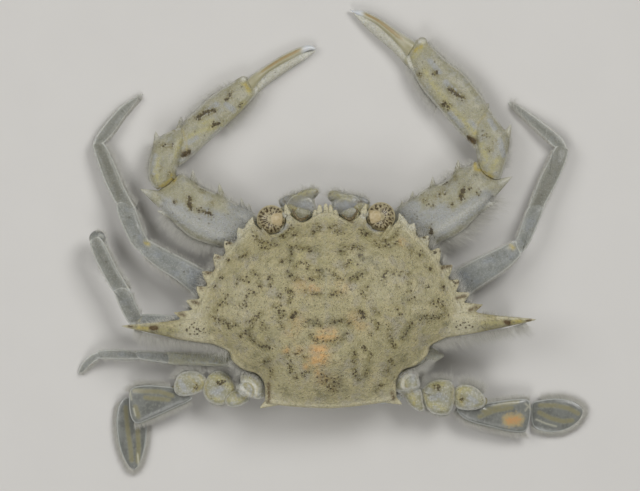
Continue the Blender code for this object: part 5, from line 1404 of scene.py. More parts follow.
def dots(paint, stray):
    """Irregular dark dots in the marked places, and a few strays elsewhere."""
    cell = paint.cells(DOT_STEP, paint.warped(0.3, 0.16))
    chance = paint.tree.nodes.new("ShaderNodeSeparateColor")
    paint.put(chance.inputs[0], cell.outputs["Color"])
    broken = paint.ramp(paint.noise(0.5, 2.0), 0.35, 0.6, 0.5, 1.0)
    wish = paint.math("MULTIPLY", paint.mark("dots"), broken)
    wish = paint.math("ADD", paint.math("MAXIMUM", wish, paint.mark("spot")), stray)
    present = paint.ramp(paint.math("SUBTRACT", wish, chance.outputs[0]), -0.1, 0.1)
    size = paint.ramp(chance.outputs[1], 0.0, 1.0, 0.32, 0.56)
    size = paint.math("ADD", size, paint.math("MULTIPLY", paint.mark("spot"), 0.25))
    inside = paint.ramp(paint.math("SUBTRACT", size, cell.outputs["Distance"]), -0.12, 0.14)
    return paint.math("MULTIPLY", present, inside)


def hair_paint():
    """Fine greyish-straw setae, lighter and darker one by one."""
    paint = Paint("crab_setae", 0.5)
    paint.set("Base Color", paint.mix(paint.mark("tone"), rgb(194, 192, 182), rgb(228, 226, 218)))
    return paint.material


def finger_paint():
    """Cream fingers with tan stripes and white tips and edges."""
    paint = Paint("crab_finger", 0.35, 0.15, 0.3)
    colour = paint.mottled(rgb(186, 182, 160), (174, 170, 144), 0.8)
    edge = paint.math("ADD", paint.mark("stripe"), paint.math("MULTIPLY", paint.noise(0.3), 0.4))
    colour = paint.mix(paint.ramp(edge, 0.4, 0.85), colour, rgb(160, 146, 108))
    colour = paint.mix(paint.ramp(edge, 0.9, 1.3), colour, rgb(156, 130, 88))
    colour = paint.stained(colour, "joint", 1.0, (152, 146, 110))
    colour = paint.stained(colour, "pale", 1.0, (206, 210, 214))
    return paint.finished(colour, 0.3, 0.02)


def eye_paint():
    """A cream cornea with brown spokes inside a pale rim."""
    paint = Paint("crab_eye", 0.4, 0.1, 0.15)
    colour = paint.mottled(rgb(150, 138, 104), (176, 166, 134), 0.3)
    ragged = paint.ramp(paint.noise(0.2, 4.0), 0.38, 0.62, 0.0, 1.1)
    ragged = paint.math("MULTIPLY", ragged, paint.ramp(paint.mark("spokes"), 0.05, 0.7))
    ragged = paint.math("ADD", paint.math("MULTIPLY", paint.mark("spokes"), 0.35), ragged)
    colour = paint.mix(paint.ramp(ragged, 0.2, 0.95), colour, rgb(74, 60, 36))
    paint.set("Base Color", paint.stained(colour, "pale", 0.8, (188, 178, 142)))
    paint.set("Normal", paint.bump(paint.cells(0.07).outputs["Distance"], 0.008))
    return paint.material


def stalk_paint():
    """The cream lobe of an eye's stalk."""
    paint = Paint("crab_eye_stalk", 0.5, 0.15, 0.1)
    colour = paint.mottled(rgb(178, 161, 122), (194, 179, 144), 0.35)
    colour = paint.mottled(colour, (160, 142, 102), 0.12, 3.0, 0.55, 0.75)
    return paint.finished(paint.stained(colour, "pale", 1.0, (186, 184, 172)), 0.15, 0.03)


def antennule_paint():
    """The short brown feelers folded under the front."""
    paint = Paint("crab_antennule", 0.45, 0.1, 0.2)
    return paint.finished(paint.mottled(rgb(78, 66, 38), (118, 104, 68), 0.15, 3.0), 0.1, 0.02)


def membrane_paint():
    """The soft yellow-grey skin of the joints."""
    paint = Paint("crab_membrane", 0.45, 0.2, 0.2)
    colour = paint.mottled(rgb(160, 154, 122), (136, 131, 106), 0.4, 4.0, 0.3, 0.7)
    return paint.finished(colour, 0.2, 0.05)


def paddle_paint():
    """Clear horn over dark flesh, with pale rims and yellow-brown streaks."""
    paint = Paint("crab_paddle", 0.3, 0.0, 0.4)
    colour = paint.mottled(rgb(112, 114, 108), (130, 132, 126), 0.9)
    colour = paint.mottled(colour, (142, 143, 136), 0.25, 4.0, 0.45, 0.75)
    patchy = paint.ramp(paint.noise(0.3, 4.0), 0.1, 0.5)
    khaki = paint.math("MULTIPLY", paint.ramp(paint.mark("khaki"), 0.1, 0.9), patchy)
    colour = paint.mix(paint.math("MULTIPLY", khaki, 0.75), colour, rgb(134, 128, 92))
    colour = paint.stained(colour, "edge", 1.0, (150, 153, 152))
    colour = paint.stained(colour, "pale", 1.0, (196, 199, 194))
    ragged = paint.math("MULTIPLY", paint.math("SUBTRACT", paint.noise(0.3), 0.5), 0.8)
    warm = paint.ramp(paint.math("ADD", paint.mark("orange"), ragged), 0.35, 0.8)
    warm = paint.math("MULTIPLY", warm, paint.ramp(paint.mark("orange"), 0.1, 0.35))
    rich = paint.math("ADD", paint.mark("orange"), paint.math("MULTIPLY", paint.noise(0.22), 0.5))
    flesh = paint.mix(paint.ramp(rich, 0.95, 1.4), rgb(172, 156, 116), rgb(200, 146, 88))
    colour = paint.mix(paint.math("MULTIPLY", warm, 0.9), colour, flesh)
    colour = paint.stained(colour, "star", 0.75, (200, 198, 178))
    solid = paint.math("MAXIMUM", paint.mark("khaki"), paint.mark("pale"))
    solid = paint.math("MAXIMUM", solid, paint.mark("orange"))
    paint.set("Alpha", paint.ramp(solid, 0.0, 0.7, 0.8, 1.0))
    return paint.finished(colour, 0.3, 0.02)


MATERIALS = {
    "shell": cuticle("crab_shell", (172, 164, 126), (182, 172, 132), (142, 136, 98),
                     (208, 202, 174), 0.52, bump=0.08, cloud=(158, 153, 138)),
    "claw": cuticle("crab_claw", (162, 158, 132), (170, 166, 144), (140, 138, 112),
                    (206, 205, 194), bump=0.05, cloud=(160, 160, 152)),
    "leg": cuticle("crab_leg", (132, 135, 131), (147, 149, 144), (114, 116, 110),
                   (212, 213, 206), 0.42, 0.18, stray=0.0, coat=0.15, speck=0.2,
                   hinge=(176, 170, 140), cloud=(140, 145, 150)),
    "swimmer": cuticle("crab_swimming_leg", (160, 157, 132), (168, 166, 150), (134, 132, 104),
                       (214, 214, 206), 0.42, 0.22, cloud=(158, 161, 162)),
    "plate": cuticle("crab_mouthpart", (134, 132, 120), (142, 142, 136), (120, 117, 98),
                     (190, 189, 176), 0.42, stray=0.0, coat=0.15, speck=0.14,
                     cloud=(138, 141, 146)),
    "belly": cuticle("crab_belly", (190, 186, 170), (182, 180, 168), (166, 164, 148),
                     (208, 206, 196), grain=0.25, bump=0.02, stray=0.0, speck=0.15),
    "finger": finger_paint(),
    "eye": eye_paint(),
    "stalk": stalk_paint(),
    "antennule": antennule_paint(),
    "membrane": membrane_paint(),
    "paddle": paddle_paint(),
    "hair": hair_paint(),
}


# Carapace
def relief(x, y, regions):
    """Height of raised regions and grooves."""
    height = np.zeros_like(x)
    for middle_x, middle_y, reach_x, reach_y, rise in regions:
        for place in sorted({middle_x, -middle_x}):
            height += rise * np.exp(-((x - place) / reach_x) ** 2 - ((y - middle_y) / reach_y) ** 2)
    return height


def edge_height(turn):
    """Level of the margin: turn runs from 0 at the front to pi at the rear."""
    front, rear = np.maximum(0.0, np.cos(turn)), np.maximum(0.0, -np.cos(turn))
    return EDGE_SIDE + (EDGE_FRONT - EDGE_SIDE) * front ** 2 + (EDGE_REAR - EDGE_SIDE) * rear ** 2


def skirt_height(turn):
    """Level of the underside beside the body, lower over the walking legs' bases."""
    return CARAPACE_FLOOR - SKIRT_DEPTH * np.interp(turn, np.radians(SKIRT_TURNS), (0, 1, 1, 0))


def level_outline(width, front, rear):
    """The body's outline at one level."""
    return oval(2 * width, rear - front, BODY_SIDES, THORAX_POWER) + (0, (front + rear) / 2)


def body_radius():
    """The body's top outline, as a function of direction from the carapace's middle."""
    outline = level_outline(*THORAX_LEVELS[-1][1:])
    outline = outline[outline[:, 0] > 0]
    return polar_radius(outline[np.argsort(outline[:, 1])])


def carapace_body():
    """The domed shell with its toothed margin, skirt and hollow underside."""
    reach = EYE_RADIUS + ORBIT_GAP
    socket = [(EYE[0] - reach * math.cos(a), EYE[1] + reach * math.sin(a))
              for a in np.radians(np.linspace(*SOCKET_ARC))]
    sharp = polar_radius(FRONT_LINE + socket + TOOTH_LINE + SPINE_ROOT + REAR_LINE)
    smooth = polar_radius(SMOOTH_LINE)
    body = body_radius()
    steps = 2 * math.pi * np.arange(AROUND) / AROUND
    turns = steps - FRONT_CROWDING * np.sin(steps)
    half = np.minimum(turns, 2 * math.pi - turns)
    edge = edge_height(half)

    def plan(radius):
        return radius * np.sin(turns), CENTRE_Y - radius * np.cos(turns)

    def margin(share):
        toothed = max(0.0, (share - TOOTHED_FROM) / (1 - TOOTHED_FROM)) ** TOOTH_ONSET
        return plan(share * ((1 - toothed) * smooth(half) + toothed * sharp(half)))

    def upper(share):
        x, y = margin(share)
        rise = (CARAPACE_TOP - CREST - edge) * (1 - share ** DOME_POWER)
        forms = relief(x, y, REGIONS + GROOVES) * min(1.0, RELIEF_FADE * (1 - share))
        fine = relief(x, y, FINE_REGIONS) * min(1.0, FINE_FADE * (1 - share))
        lip = LIP_HEIGHT * bell(share, *LIP_PLACE)
        return np.stack([x, y, edge + rise + forms + fine + lip], axis=1)

    def lower(share, drop):
        under = edge - EDGE_THICKNESS
        return np.stack([*margin(share), under - drop * (under - skirt_height(half))], axis=1)

    def bay(width, level=None):
        height = skirt_height(half) if level is None else np.full(AROUND, level)
        return np.stack([*plan(body(half) + width), height], axis=1)

    rings = [upper(share) for share in 1 - (1 - np.linspace(0.01, 1, RINGS_TOP)) ** RIM_CROWDING]
    rings += [lower(share, drop) for share, drop in UNDER_EDGE]
    rings += [bay(SKIRT_WIDTH), bay(BAY_MARGIN)]
    rings += [bay(width, CARAPACE_FLOOR) for width in (BAY_MARGIN, BAY_MIDDLE)]
    return Skin(rings)


def side_spine(sign):
    """The long spine at one side, from the shell to its tip."""
    stations = np.array(SPINE_STATIONS + [(SPINE_TIP[0], SPINE_TIP[1], SPINE_TIP[1], SPINE_THIN)])
    share = np.linspace(0, 1, SPINE_ROWS)
    places = stations[0, 0] + (stations[-1, 0] - stations[0, 0]) * share
    front, rear, thick = (eased(places, stations[:, 0], stations[:, k]) for k in (1, 2, 3))
    level = EDGE_SIDE - SPINE_SUNK + SPINE_RISE * share
    bend = SPINE_BENDS[sign] * smooth_step(*SPINE_BEND_RUN, places)
    rings = []
    for x, a, b, height, z, y in zip(places, front, rear, thick, level, bend):
        outline = oval(max(b - a, SPINE_THIN), height, SPINE_SIDES)
        rings.append(np.stack([np.full(SPINE_SIDES, sign * x), (a + b) / 2 + y + outline[:, 0],
                               z + outline[:, 1]], axis=1))
    return Skin(rings)


def side_forms(sign):
    """The spine, teeth and brow of one side of the carapace."""
    forms = [form(side_spine(sign))]
    for tip, root in SIDE_TEETH:
        level = float(edge_height(math.atan2(root[0], CENTRE_Y - root[1]))) - SIDE_TOOTH_SUNK
        away = unit(np.array([root[0], root[1] - CENTRE_Y, 0]))
        start = np.array([sign * root[0], root[1], level])
        end = np.array([sign * tip[0], tip[1], level + SIDE_TOOTH_LIFT])
        forms.append(form(spine(start, end + FUSING_LOSS * unit(end - start), SIDE_TOOTH_RADIUS,
                                SIDE_TOOTH_FLAT, away * SIDE_TOOTH_BOW * (sign, 1, 1))))
    brow = [(sign * x, y, EDGE_FRONT + BROW_LIFT) for x, y in BROW]
    forms.append(form(path_skin(brow, BROW_SIZES, 40, 16)))
    tip, root, radius = CORNER_TOOTH
    level = EDGE_REAR - CORNER_TOOTH_SUNK
    forms.append(form(spine((sign * root[0], root[1], level), (sign * tip[0], tip[1], level),
                            radius, CORNER_TOOTH_FLAT)))
    return forms


def carapace():
    forms = [form(carapace_body())] + side_forms(1) + side_forms(-1)
    for tip, root, radius in ORBIT_TEETH:
        level = EDGE_FRONT - ORBIT_TOOTH_SUNK
        forms.append(form(spine(at_level(root, level), at_level(tip, level), radius,
                                ORBIT_TOOTH_FLAT)))
    teeth = []
    for tip, root, radius in FRONT_TEETH:
        level = EDGE_FRONT - FRONT_TOOTH_SUNK
        teeth.append(form(blunt_tooth(at_level(root, level), at_level(tip, level), radius)))
    points, polygons = joined([fused("carapace", forms, CARAPACE_VOXEL, 2)] + teeth)
    marks = marks_from_photo(points)
    marks["pale"] = carapace_rim(points)
    for tip, _, _ in FRONT_TEETH + ORBIT_TEETH:
        away = distance_to(points[:, :2], from_photo(tip))
        marks["pale"] = np.maximum(marks["pale"], TOOTH_TIP_PALE * smooth_step(0.7, 0.2, away))
    piece("carapace_shell", points, polygons, "shell", "shell", ["carapace"], marks)


def carapace_rim(points):
    """The whitish margin all round, except on the side spines, and the pale underside."""
    smooth = polar_radius(SMOOTH_LINE)
    turn = np.abs(np.arctan2(points[:, 0], CENTRE_Y - points[:, 1]))
    share = np.hypot(points[:, 0], points[:, 1] - CENTRE_Y) / smooth(turn)
    side = 0.6 * smooth_step(0.9, 1.08, share)
    under = smooth_step(0.0, -0.8, points[:, 2] - edge_height(turn))
    return np.maximum(side * (1 - smooth_step(13.5, 15.5, np.abs(points[:, 0]))), 0.8 * under)


# Underside
def body_at(z):
    """Half width, front and rear of the body at a level."""
    levels = np.array(THORAX_LEVELS)
    return [np.interp(z, levels[:, 0], levels[:, k]) for k in (1, 2, 3)]


def thorax_wall(y, z):
    """Half width of the body's side wall at a place."""
    width, front, rear = body_at(z)
    share = abs((y - (front + rear) / 2) / ((rear - front) / 2))
    return width * (1 - min(share, 1.0) ** THORAX_POWER) ** (1 / THORAX_POWER)


def thorax():
    """The body with its breastplate, which has sutures and a groove for the tail."""
    rings = []
    for z in np.linspace(0.0, THORAX_TOP, 24):
        rings.append(np.column_stack([level_outline(*body_at(z)), np.full(BODY_SIDES, z)]))
    points, polygons = fused("thorax", [form(Skin(rings))], THORAX_VOXEL, 4)
    x, y, z = np.abs(points[:, 0]), points[:, 1], points[:, 2]
    below = smooth_step(*BREASTPLATE_TOP, z)
    half = np.interp(y, *np.transpose(ABDOMEN_PLAN)) + 0.35
    sunk = GROOVE_SUNK * smooth_step(-3.1, -2.7, y) * smooth_step(0.25, -0.05, x - half)
    sutures = np.zeros_like(x)
    for start, lean in SUTURES:
        line = bell(y, start + lean * x, SUTURE_WIDTH)
        sutures += line * smooth_step(0.3, 1.2, x - half + 0.6)
    points[:, 2] = z + below * np.maximum(sunk, SUTURE_DEPTH * sutures)
    marks = {"pale": 0.5 * smooth_step(2.0, 0.5, z), "joint": 0.35 * below * sutures}
    piece("breastplate", points, polygons, "belly", "sternum", ["thorax"], marks)


def abdomen():
    """The tail: narrow plates folded forward under the body, turned up at the rear."""
    sizes = [(width, ABDOMEN_DEPTH) for width in ABDOMEN_WIDTHS]
    skin = path_skin(ABDOMEN_PATH, sizes, ABDOMEN_ROWS, ABDOMEN_SIDES, power=3.4)
    joints = np.linspace(0, 1, len(ABDOMEN_WIDTHS))[2:-1]
    pinch = sum(PINCH_DEPTH * bell(skin.shares, joint, PINCH_REACH) for joint in joints)
    middle = skin.grid.mean(axis=1, keepdims=True)
    skin.grid = middle + (skin.grid - middle) * (1 - pinch)[:, None, None]
    marks = {"joint": np.append(np.repeat(pinch / 0.3, ABDOMEN_SIDES), [0, 0])}
    piece("tail", *form(skin), "belly", "sternum", ["abdomen"], marks)


# Head
def eye(side):
    """An eye pressed flat from above, with brown spokes inside its rim, and its stalk."""
    middle = np.array(mirrored([EYE], side)[0])
    skin = globe(middle, EYE_RADIUS, EYE_HEIGHT, 70, 120, 0.02, EYE_RIM)
    points, faces = form(skin)
    away = points - middle
    radius = np.hypot(away[:, 0], away[:, 1]) / EYE_RADIUS
    turn = np.arctan2(away[:, 1], away[:, 0])
    band = smooth_step(*EYE_PUPIL, radius) * smooth_step(*EYE_MARGIN, radius)
    spokes = band * (0.6 + 0.4 * np.cos(EYE_SPOKES * turn + 1.7 * np.sin(3 * turn)))
    marks = {"spokes": spokes, "pale": smooth_step(0.88, 0.99, radius)}
    piece(f"eye_globe_{side}", points, faces, "eye", "eye", ["eye_" + side], marks)

    lobe = path_skin(mirrored(EYE_LOBE, side), EYE_LOBE_SIZES, 40, 36, blunt=0.2, tip=0.4)
    shaft = path_skin(mirrored(STALK, side), STALK_SIZES, 24, 28, blunt=0.1)
    vertices, faces = joined([form(lobe), form(shaft)])
    pale = np.where(np.arange(len(vertices)) < len(lobe.vertices()), 0.0, 0.7)
    piece(f"eye_stalk_{side}", vertices, faces, "stalk", "eye", (), {"pale": pale})


def jaw(side):
    """An outer mouthpart with its flat plates."""
    stem = path_skin(mirrored(JAW_PATH, side), JAW_SIZES, 48, 40, (0, -1, 0), 3.0)
    plates = [drawn("head", *plate) for plate in JAW_PLATES[side]]
    vertices, faces = joined([form(skin) for skin in [stem] + plates])
    rims = [SIDES_PALE * stem.sides()]
    rims += [0.9 * smooth_step(0.86, 0.97, plate.inner()) for plate in plates]
    marks = {kind: painted(vertices, "jaw_" + kind) for kind in ("brown", "straw", "white", "smoke")}
    marks["pale"] = np.concatenate(rims)
    piece(f"jaw_{side}", vertices, faces, "plate", "mouthpart", ["maxilliped_" + side], marks)


def feelers(side):
    """The short brown feeler, and the ringed one with the plates at its base."""
    bent = [at_level(place, ANTENNULE_LEVEL + ANTENNULE_RISE * k)
            for k, place in enumerate(ANTENNULES[side])]
    antennule = path_skin(bent, ANTENNULE_SIZES, 60, 16)
    piece(f"antennule_{side}", *form(antennule), "antennule", "mouthpart")

    feeler = path_skin(mirrored(FEELER_PATH, side), FEELER_SIZES, 70, 24)
    plates = [drawn("head", *plate) for plate in FEELER_PLATES[side]]
    vertices, faces = joined([form(skin) for skin in [feeler] + plates])
    rings = 0.4 + 0.3 * (0.5 + 0.5 * np.cos(FEELER_RINGS * feeler.share()))
    counts = [len(plate.vertices()) for plate in plates]
    pale = [np.zeros(len(rings)), 0.1 * smooth_step(0.6, 0.95, plates[0].inner())]
    pale += [np.full(count, white) for count, white in zip(counts[1:], (0.3, 0.3, 0.0))]
    bare = np.zeros(len(vertices) - len(rings))
    golden = np.append(np.zeros(len(vertices) - counts[-1]), np.full(counts[-1], 0.4))
    marks = {"joint": np.append(rings, bare), "gold": golden, "pale": np.concatenate(pale)}
    piece(f"feeler_{side}", vertices, faces, "swimmer", "mouthpart", ["antenna_" + side], marks)


# Limbs
def limb(side, pose):
    """A limb's joints, the directions between them, and the plane across it at each joint."""
    (y, z), *joints = pose
    sign = SIGNS[side]
    slope = (thorax_wall(y + WALL_STEP, z) - thorax_wall(y - WALL_STEP, z)) / (2 * WALL_STEP)
    outward = unit(np.array([sign, -slope, 0.0]))
    root = np.array([sign * thorax_wall(y, z), y, z]) + outward * ROOT_GAP
    points = [root] + [np.array(joint, float) for joint in joints]
    ways = [unit(b - a) for a, b in zip(points, points[1:])]
    planes = [outward] + [unit(unit(a) + unit(b)) for a, b in zip(ways, ways[1:])] + [ways[-1]]
    return points, ways, planes


def straight(k, points, planes, shape, grooved=False):
    """The straight skin of a limb's segment between two of its joints."""
    return Segment(points[k], points[k + 1], planes[k], planes[k + 1], shape, grooved)


def membranes(name, points, ways, sizes, slot):
    """The soft membranes inside a limb's joints, as one piece."""
    forms = []
    for point, before, after, (width, height) in zip(points[1:], ways, ways[1:], sizes):
        path = [point - before * JOINT_REACH, point, point + after * JOINT_REACH]
        rings = [(share * width, share * height) for share in JOINT_FULLNESS]
        forms.append(form(path_skin(path, rings, 20, 32, before, blunt=0.3, tip=0.3)))
    piece(name, *joined(forms), "membrane", slot)


def walking_leg(name, side):
    """A walking leg: straight, drawn and folded segments, and the membranes between them."""
    wide, high = EDGE_ON.get((name, side), (1.0, 1.0))
    merus = [(share, width * wide, height * high) for share, width, height in MERUS_SHAPE]
    joints = [(width * wide, height * high) for width, height in LEG_JOINTS]
    joints[0] = np.minimum(joints[0], BASE_SHAPE[-1][1:])
    points, ways, planes = limb(side, LEG_POSE[(name, side)])
    stub = (name, side) == ("leg_4", "right")
    for k, part in enumerate(LEG_PARTS[:len(ways)]):
        if part in LEG_OUTLINES.get((name, side), {}):
            outline, thickness = LEG_OUTLINES[(name, side)][part]
            vertices, faces = form(Plate("leg", outline, points[k], points[k + 1], thickness))
            marks = marks_from_photo(vertices)
            marks["pale"] = outline_rim("leg", outline, vertices)
            marks["edge"] = outline_rim("leg_edge", outline, vertices)
            for mark, shades in (("shade", LEG_SHADES), ("straw", LEG_STRAW)):
                marks[mark] = np.full(len(vertices), shades.get(name, {}).get(part, 0.0))
        else:
            skin = straight(k, points, planes, BASE_SHAPE if part == "base" else merus, True)
            vertices, faces = form(skin)
            marks = skin.marks(vertices)
        leg_piece(name, part, side, vertices, faces, marks, stub)
    for k, (part, path, sizes) in enumerate(FOLDED.get((name, side), [])):
        path = [points[-1]] + path if k == 0 else path
        skin = path_skin(path, sizes, 60, 32, ways[-1] if k == 0 else None)
        ends = np.minimum(skin.share(), 1 - skin.share())
        marks = {"joint": smooth_step(0.12, 0.0, ends), "pale": SIDES_PALE * skin.sides()}
        leg_piece(name, part, side, *form(skin), marks, stub)
    membranes(f"{name}_joints_{side}", points, ways, np.multiply(joints, LEG_SLIMNESS), "leg")


def leg_piece(name, part, side, vertices, faces, marks, stub):
    """One segment of a walking leg, with painted light all over the stub that lies in the carapace's shadow.
    """
    if stub:
        # Painted light, lifting the carapace's shadow off the stub
        marks["white"] = np.ones(len(vertices))
    piece(f"{name}_{part}_skin_{side}", vertices, faces, "leg", "leg", [f"{name}_{part}_{side}"], marks)


def blade(edges, low, high, rows=90, sides=40):
    """A finger between two edges drawn on the photo, its middle at a level from root to tip."""
    shares = closer_at_ends(rows)
    first, second = (at_shares(through(from_photo(edge), CURVE_POINTS), shares) for edge in edges)
    tall = eased(shares, np.linspace(0, 1, len(FINGER_HEIGHTS)), FINGER_HEIGHTS)
    ends = end_rounding(shares, *FINGER_ENDS)
    rings = []
    for share, a, b, height, end in zip(shares, first, second, tall, ends):
        around = oval(1.0, height, sides, FINGER_POWER) * end
        flat = (a + b) / 2 + around[:, :1] * (a - b)
        rings.append(np.column_stack([flat, low + (high - low) * share + around[:, 1]]))
    return Skin(rings, shares)


def claw_spines(part, side, level):
    """The spines of one segment of a claw."""
    forms = []
    for tip, root, radius in CLAW_SPINES[side][part]:
        start, end = at_level(root, level), at_level(tip, level)
        end = end + FUSING_LOSS * unit(end - start)
        forms.append(form(spine(start, end, CLAW_SPINE_STOUT * radius, CLAW_SPINE_FLAT, rows=22)))
    return forms


def claw_pale(part, side, outline, points):
    """The whitish rim of a claw's segment between its spines, and the spines' pale tips."""
    cover, tips = np.zeros(len(points)), np.zeros(len(points))
    for tip, root, radius in CLAW_SPINES[side][part]:
        line = from_photo([tip, root])
        away = distance_to(points[:, :2], line)
        cover = np.maximum(cover, smooth_step(1.7 * radius, 1.1 * radius, away))
        away = np.linalg.norm(points[:, :2] - line[0], axis=1) / np.linalg.norm(line[0] - line[1])
        tips = np.maximum(tips, smooth_step(0.7, 0.15, away))
    return np.maximum((1 - cover) * outline_rim("claw", outline, points), SPINE_TIP_PALE * tips)


def fixed_finger_pale(side, points, start, end):
    """The pale fixed finger, with its white end and rim."""
    share = (points - start) @ unit(end - start) / np.linalg.norm(end - start)
    pale = np.maximum(0.62 * smooth_step(0.02, 0.12, share), 0.95 * smooth_step(0.6, 0.8, share))
    upper, lower = FINGERS[side]["fixed"]
    rim = outline_rim("finger", lower + upper[::-1], points)
    along = (points - start) @ unit(end - start)
    return np.maximum(pale, rim * smooth_step(0.2, 0.8, along))


def moving_finger(side, low, high):
    """The moving finger, with a tan stripe, a khaki band inside it and a white tip."""
    skin = blade(FINGERS[side]["moving"], low, high)
    share, across = skin.share(), np.cos(skin.turn())
    stripe = bell(across, 0.25, 0.34) * smooth_step(0.0, 0.4, share) * smooth_step(0.88, 0.74, share)
    inner = 0.75 * bell(across, -0.45, 0.3) * smooth_step(0.8, 0.55, share)
    marks = {"stripe": stripe,
             "pale": np.maximum(0.9 * smooth_step(0.76, 0.86, share), 0.65 * skin.sides()),
             "joint": np.maximum(inner, 0.6 * smooth_step(0.22, 0.05, share))}
    piece(f"claw_finger_{side}", *form(skin), "finger", "finger", [f"cheliped_dactylus_{side}"], marks)


def claw(side):
    points, ways, planes = limb(side, CLAW_POSE[side])
    knuckle, tip = points[4], points[5]
    for k, part in enumerate(["base", "merus", "carpus", "propodus"]):
        if part == "base":
            skin = straight(k, points, planes, CLAW_BASE)
            vertices, faces = fused(part, [form(skin)], BASE_VOXEL, 2)
            marks = marks_from_photo(vertices)
        else:
            outline, thickness = CLAW_OUTLINES[side][part]
            forms = [form(Plate("claw", outline, points[k], points[k + 1], thickness))]
            forms += claw_spines(part, side, (points[k][2] + points[k + 1][2]) / 2 + CLAW_SPINE_LIFT)
            if part == "propodus":
                place, radius = CONDYLES[side]
                ball = globe(at_level(place, knuckle[2] + CONDYLE_LIFT), radius, radius, 28, 36, 0.04)
                forms += [form(blade(FINGERS[side]["fixed"], knuckle[2], tip[2])), form(ball)]
            vertices, faces = fused(part, forms, LIMB_VOXEL, 3)
            marks = marks_from_photo(vertices)
            marks["pale"] = claw_pale(part, side, outline, vertices)
        if part == "propodus":
            finger = fixed_finger_pale(side, vertices, knuckle, tip)
            marks["pale"] = np.maximum(marks["pale"], finger)
        piece(f"claw_{part}_shell_{side}", vertices, faces, "claw", "claw",
              [f"cheliped_{part}_{side}"], marks)
    moving_finger(side, knuckle[2], tip[2])
    membranes(f"claw_joints_{side}", points[:4], ways[:4], CLAW_JOINTS, "claw")


def swimming_leg(side):
    points, ways, planes = limb(side, SWIM_POSE[side])
    for part, drawings in SWIM_OUTLINES[side].items():
        plates = [drawn("swimmer", *drawing, SWIM_SLOPES.get(part, 0.0)) for drawing in drawings]
        outline = drawings[0][0]
        if part == "base":
            forms = [form(straight(0, points, planes, SWIM_BASE))] + [form(plate) for plate in plates]
            vertices, faces = fused(part, forms, LIMB_VOXEL, 1)
            pale = np.max([outline_rim("base", line, vertices) for line, _, _ in drawings], axis=0)
        else:
            vertices, faces = form(plates[0])
            pale = outline_rim("swimmer", outline, vertices)
        material, slot, node = "swimmer", "shell_light", part
        if part in ("propodus", "leaf"):
            material, slot = "paddle", "paddle"
            pale = outline_rim("paddle", outline, vertices)
        if part == "leaf":
            node = "dactylus"
        marks = marks_from_photo(vertices)
        marks["pale"] = pale
        piece(f"swimmer_{part}_shell_{side}", vertices, faces, material, slot,
              [f"leg_5_{node}_{side}"], marks)
    slim = np.multiply(SWIM_JOINTS, SWIM_SLIMNESS)
    membranes(f"swimmer_joints_{side}", points, ways, slim, "shell_light")


# Setae
def fringe(random, pixels, levels, count, length, lean, even, deep, ragged):
    """Hairs along a line drawn on the photo, standing out to the right of its run."""
    shares = np.sort(random.uniform(0, 1, count))
    line = through(from_photo(pixels), CURVE_POINTS)
    points, along = at_shares(line, shares), at_shares(unit(np.gradient(line, axis=0)), shares)
    out = np.column_stack([along[:, 1], -along[:, 0], np.zeros(count)])
    along = np.column_stack([along, np.zeros(count)])
    low, high = levels
    heights = low + (high - low) * shares + deep * random.uniform(-0.5, 0.5, count)
    roots = np.column_stack([points, heights]) - HAIR_SUNK * out
    ways = out + lean * along + ragged * random.standard_normal((count, 3)) * (1, 1, 0.6)
    lengths = HAIR_SUNK + length * random.uniform(1 - even, 1.05, count)
    return roots, unit(ways), lengths, along, shares, random.uniform(0, 1, count)


def hair_grid(random, roots, ways, lengths, drift):
    """The points of each hair: three rings of three, and its tip."""
    count = len(roots)
    side = unit(np.cross(ways, random.standard_normal((count, 3))))
    other = np.cross(ways, side)
    bend = HAIR_BEND * random.standard_normal((count, 3)) + HAIR_DRIFT * drift
    bend[:, 2] -= HAIR_SAG
    rings = []
    for t, width in HAIR_RINGS:
        middle = roots + (ways * t + bend * t * t) * lengths[:, None]
        for turn in (0.0, 2 * math.pi / 3, 4 * math.pi / 3):
            around = math.cos(turn) * side + math.sin(turn) * other
            rings.append(middle + HAIR_RADIUS * width * around)
    rings.append(roots + (ways + bend) * lengths[:, None])
    points = np.stack(rings, axis=1)
    points[..., 2] = np.maximum(points[..., 2], HAIR_RADIUS)
    return points


def hair_corners():
    """The triangles of one hair."""
    corners = []
    for low in (0, 3):
        for k in range(3):
            a, b = low + k, low + (k + 1) % 3
            corners += [(a, b, b + 3), (a, b + 3, a + 3)]
    return corners + [(6, 7, 9), (7, 8, 9), (8, 6, 9), (0, 2, 1)]


def unwrap(mesh, u, v, patch, patches, faces_each):
    """Each hair has a small corner of the map inside its fringe's patch, at its root's share along the fringe
    and a random height.
    """
    columns = math.ceil(math.sqrt(patches))
    place = np.stack([(patch % columns + 0.05 + 0.9 * u) / columns,
                      (patch // columns + 0.05 + 0.9 * v) / columns], axis=1)
    corner = np.array([(0, 0), (1, 0), (0, 1)]) * HAIR_PATCH
    every = place[:, None, None, :] + np.zeros((1, faces_each, 1, 1)) + corner[None, None]
    layer = mesh.uv_layers.new(name="OFBake")
    layer.data.foreach_set("uv", every.astype(np.float32).ravel())


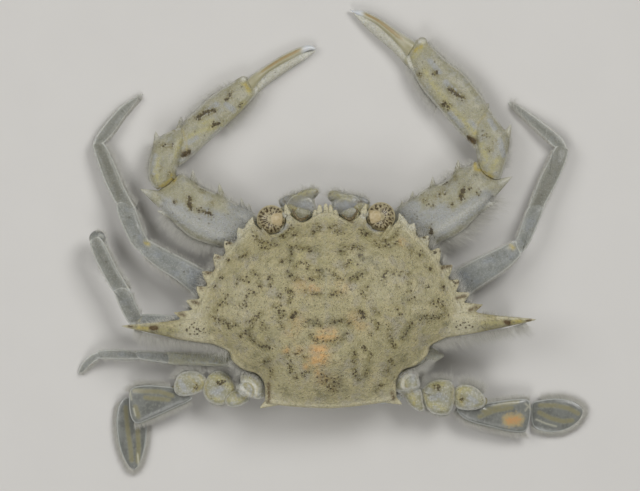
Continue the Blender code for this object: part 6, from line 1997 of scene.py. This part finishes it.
def fringes(name, side):
    """One piece of setae for a part of the body, from the lines of its fringes."""
    random = np.random.default_rng(SEED + len(name) + 10 * (side == "left"))
    tufts = []
    for line, levels, count, length, lean in FRINGES[(name, side)]:
        flat = name == "swimmer" and length < FLAT_LENGTH
        tufts.append(fringe(random, line, levels, count, length, lean, *HAIR_SPREAD[flat]))
    roots, ways, lengths, drift, u, v = (np.concatenate(column) for column in zip(*tufts))
    patch = np.repeat(np.arange(len(tufts)), [len(tuft[0]) for tuft in tufts])
    points = hair_grid(random, roots, ways, lengths, drift)
    corners = hair_corners()
    faces = np.array(corners)[None] + HAIR_POINTS * np.arange(len(roots))[:, None, None]
    marks = {"tone": np.repeat(random.uniform(0, 1, len(roots)), HAIR_POINTS)}
    made = piece(f"setae_{name}_{side}", points.reshape(-1, 3), faces.reshape(-1, 3).tolist(), "hair",
                 FRINGE_SLOTS[name], (), marks)
    unwrap(made.data, u, v, patch, len(tufts), len(corners))


# Stage
def floor():
    bpy.ops.mesh.primitive_plane_add(size=FLOOR_SIZE)
    plane = bpy.context.object
    plane.name = "floor"
    paint = Paint("floor_paper", 0.85)
    paint.set("Base Color", paint.mix(paint.noise(6.0, 4.0), rgb(212, 210, 206), rgb(208, 206, 202)))
    plane.data.materials.append(paint.material)


def lights():
    world = bpy.data.worlds.new("studio")
    bpy.context.scene.world = world
    world.use_nodes = True
    background = world.node_tree.nodes["Background"]
    background.inputs["Color"].default_value = SKY_COLOUR
    background.inputs["Strength"].default_value = SKY_STRENGTH
    for name, place, size, power in LAMPS:
        data = bpy.data.lights.new(name, "AREA")
        data.size = size
        data.energy = power
        lamp = bpy.data.objects.new(name, data)
        lamp.location = place
        lamp.rotation_euler = (-Vector(place)).to_track_quat("-Z", "Y").to_euler()
        bpy.context.scene.collection.objects.link(lamp)


def camera():
    """A camera straight above that frames what the photo shows, as it shows it."""
    data = bpy.data.cameras.new("camera")
    data.lens = CAMERA_LENS
    data.sensor_width = CAMERA_SENSOR
    data.clip_start, data.clip_end = 0.01, 10.0
    shot = bpy.data.objects.new("camera", data)
    aim = from_photo((PHOTO_SIZE[0] / 2, PHOTO_SIZE[1] / 2))[0]
    distance = PHOTO_SIZE[0] * PHOTO_STEP * data.lens / data.sensor_width
    shot.location = ((aim[0] + SHIFT[0]) * MM, (aim[1] + SHIFT[1]) * MM, (distance + EDGE_SIDE) * MM)
    shot.rotation_euler = (0.0, 0.0, PHOTO_TURN)
    bpy.context.scene.collection.objects.link(shot)
    bpy.context.scene.camera = shot


carapace()
thorax()
abdomen()
for side in SIGNS:
    eye(side)
    jaw(side)
    feelers(side)
    claw(side)
    swimming_leg(side)
    for name in ("leg_2", "leg_3", "leg_4"):
        walking_leg(name, side)
for name, side in FRINGES:
    fringes(name, side)
floor()
lights()
camera()
bpy.context.scene.view_settings.view_transform = "Standard"
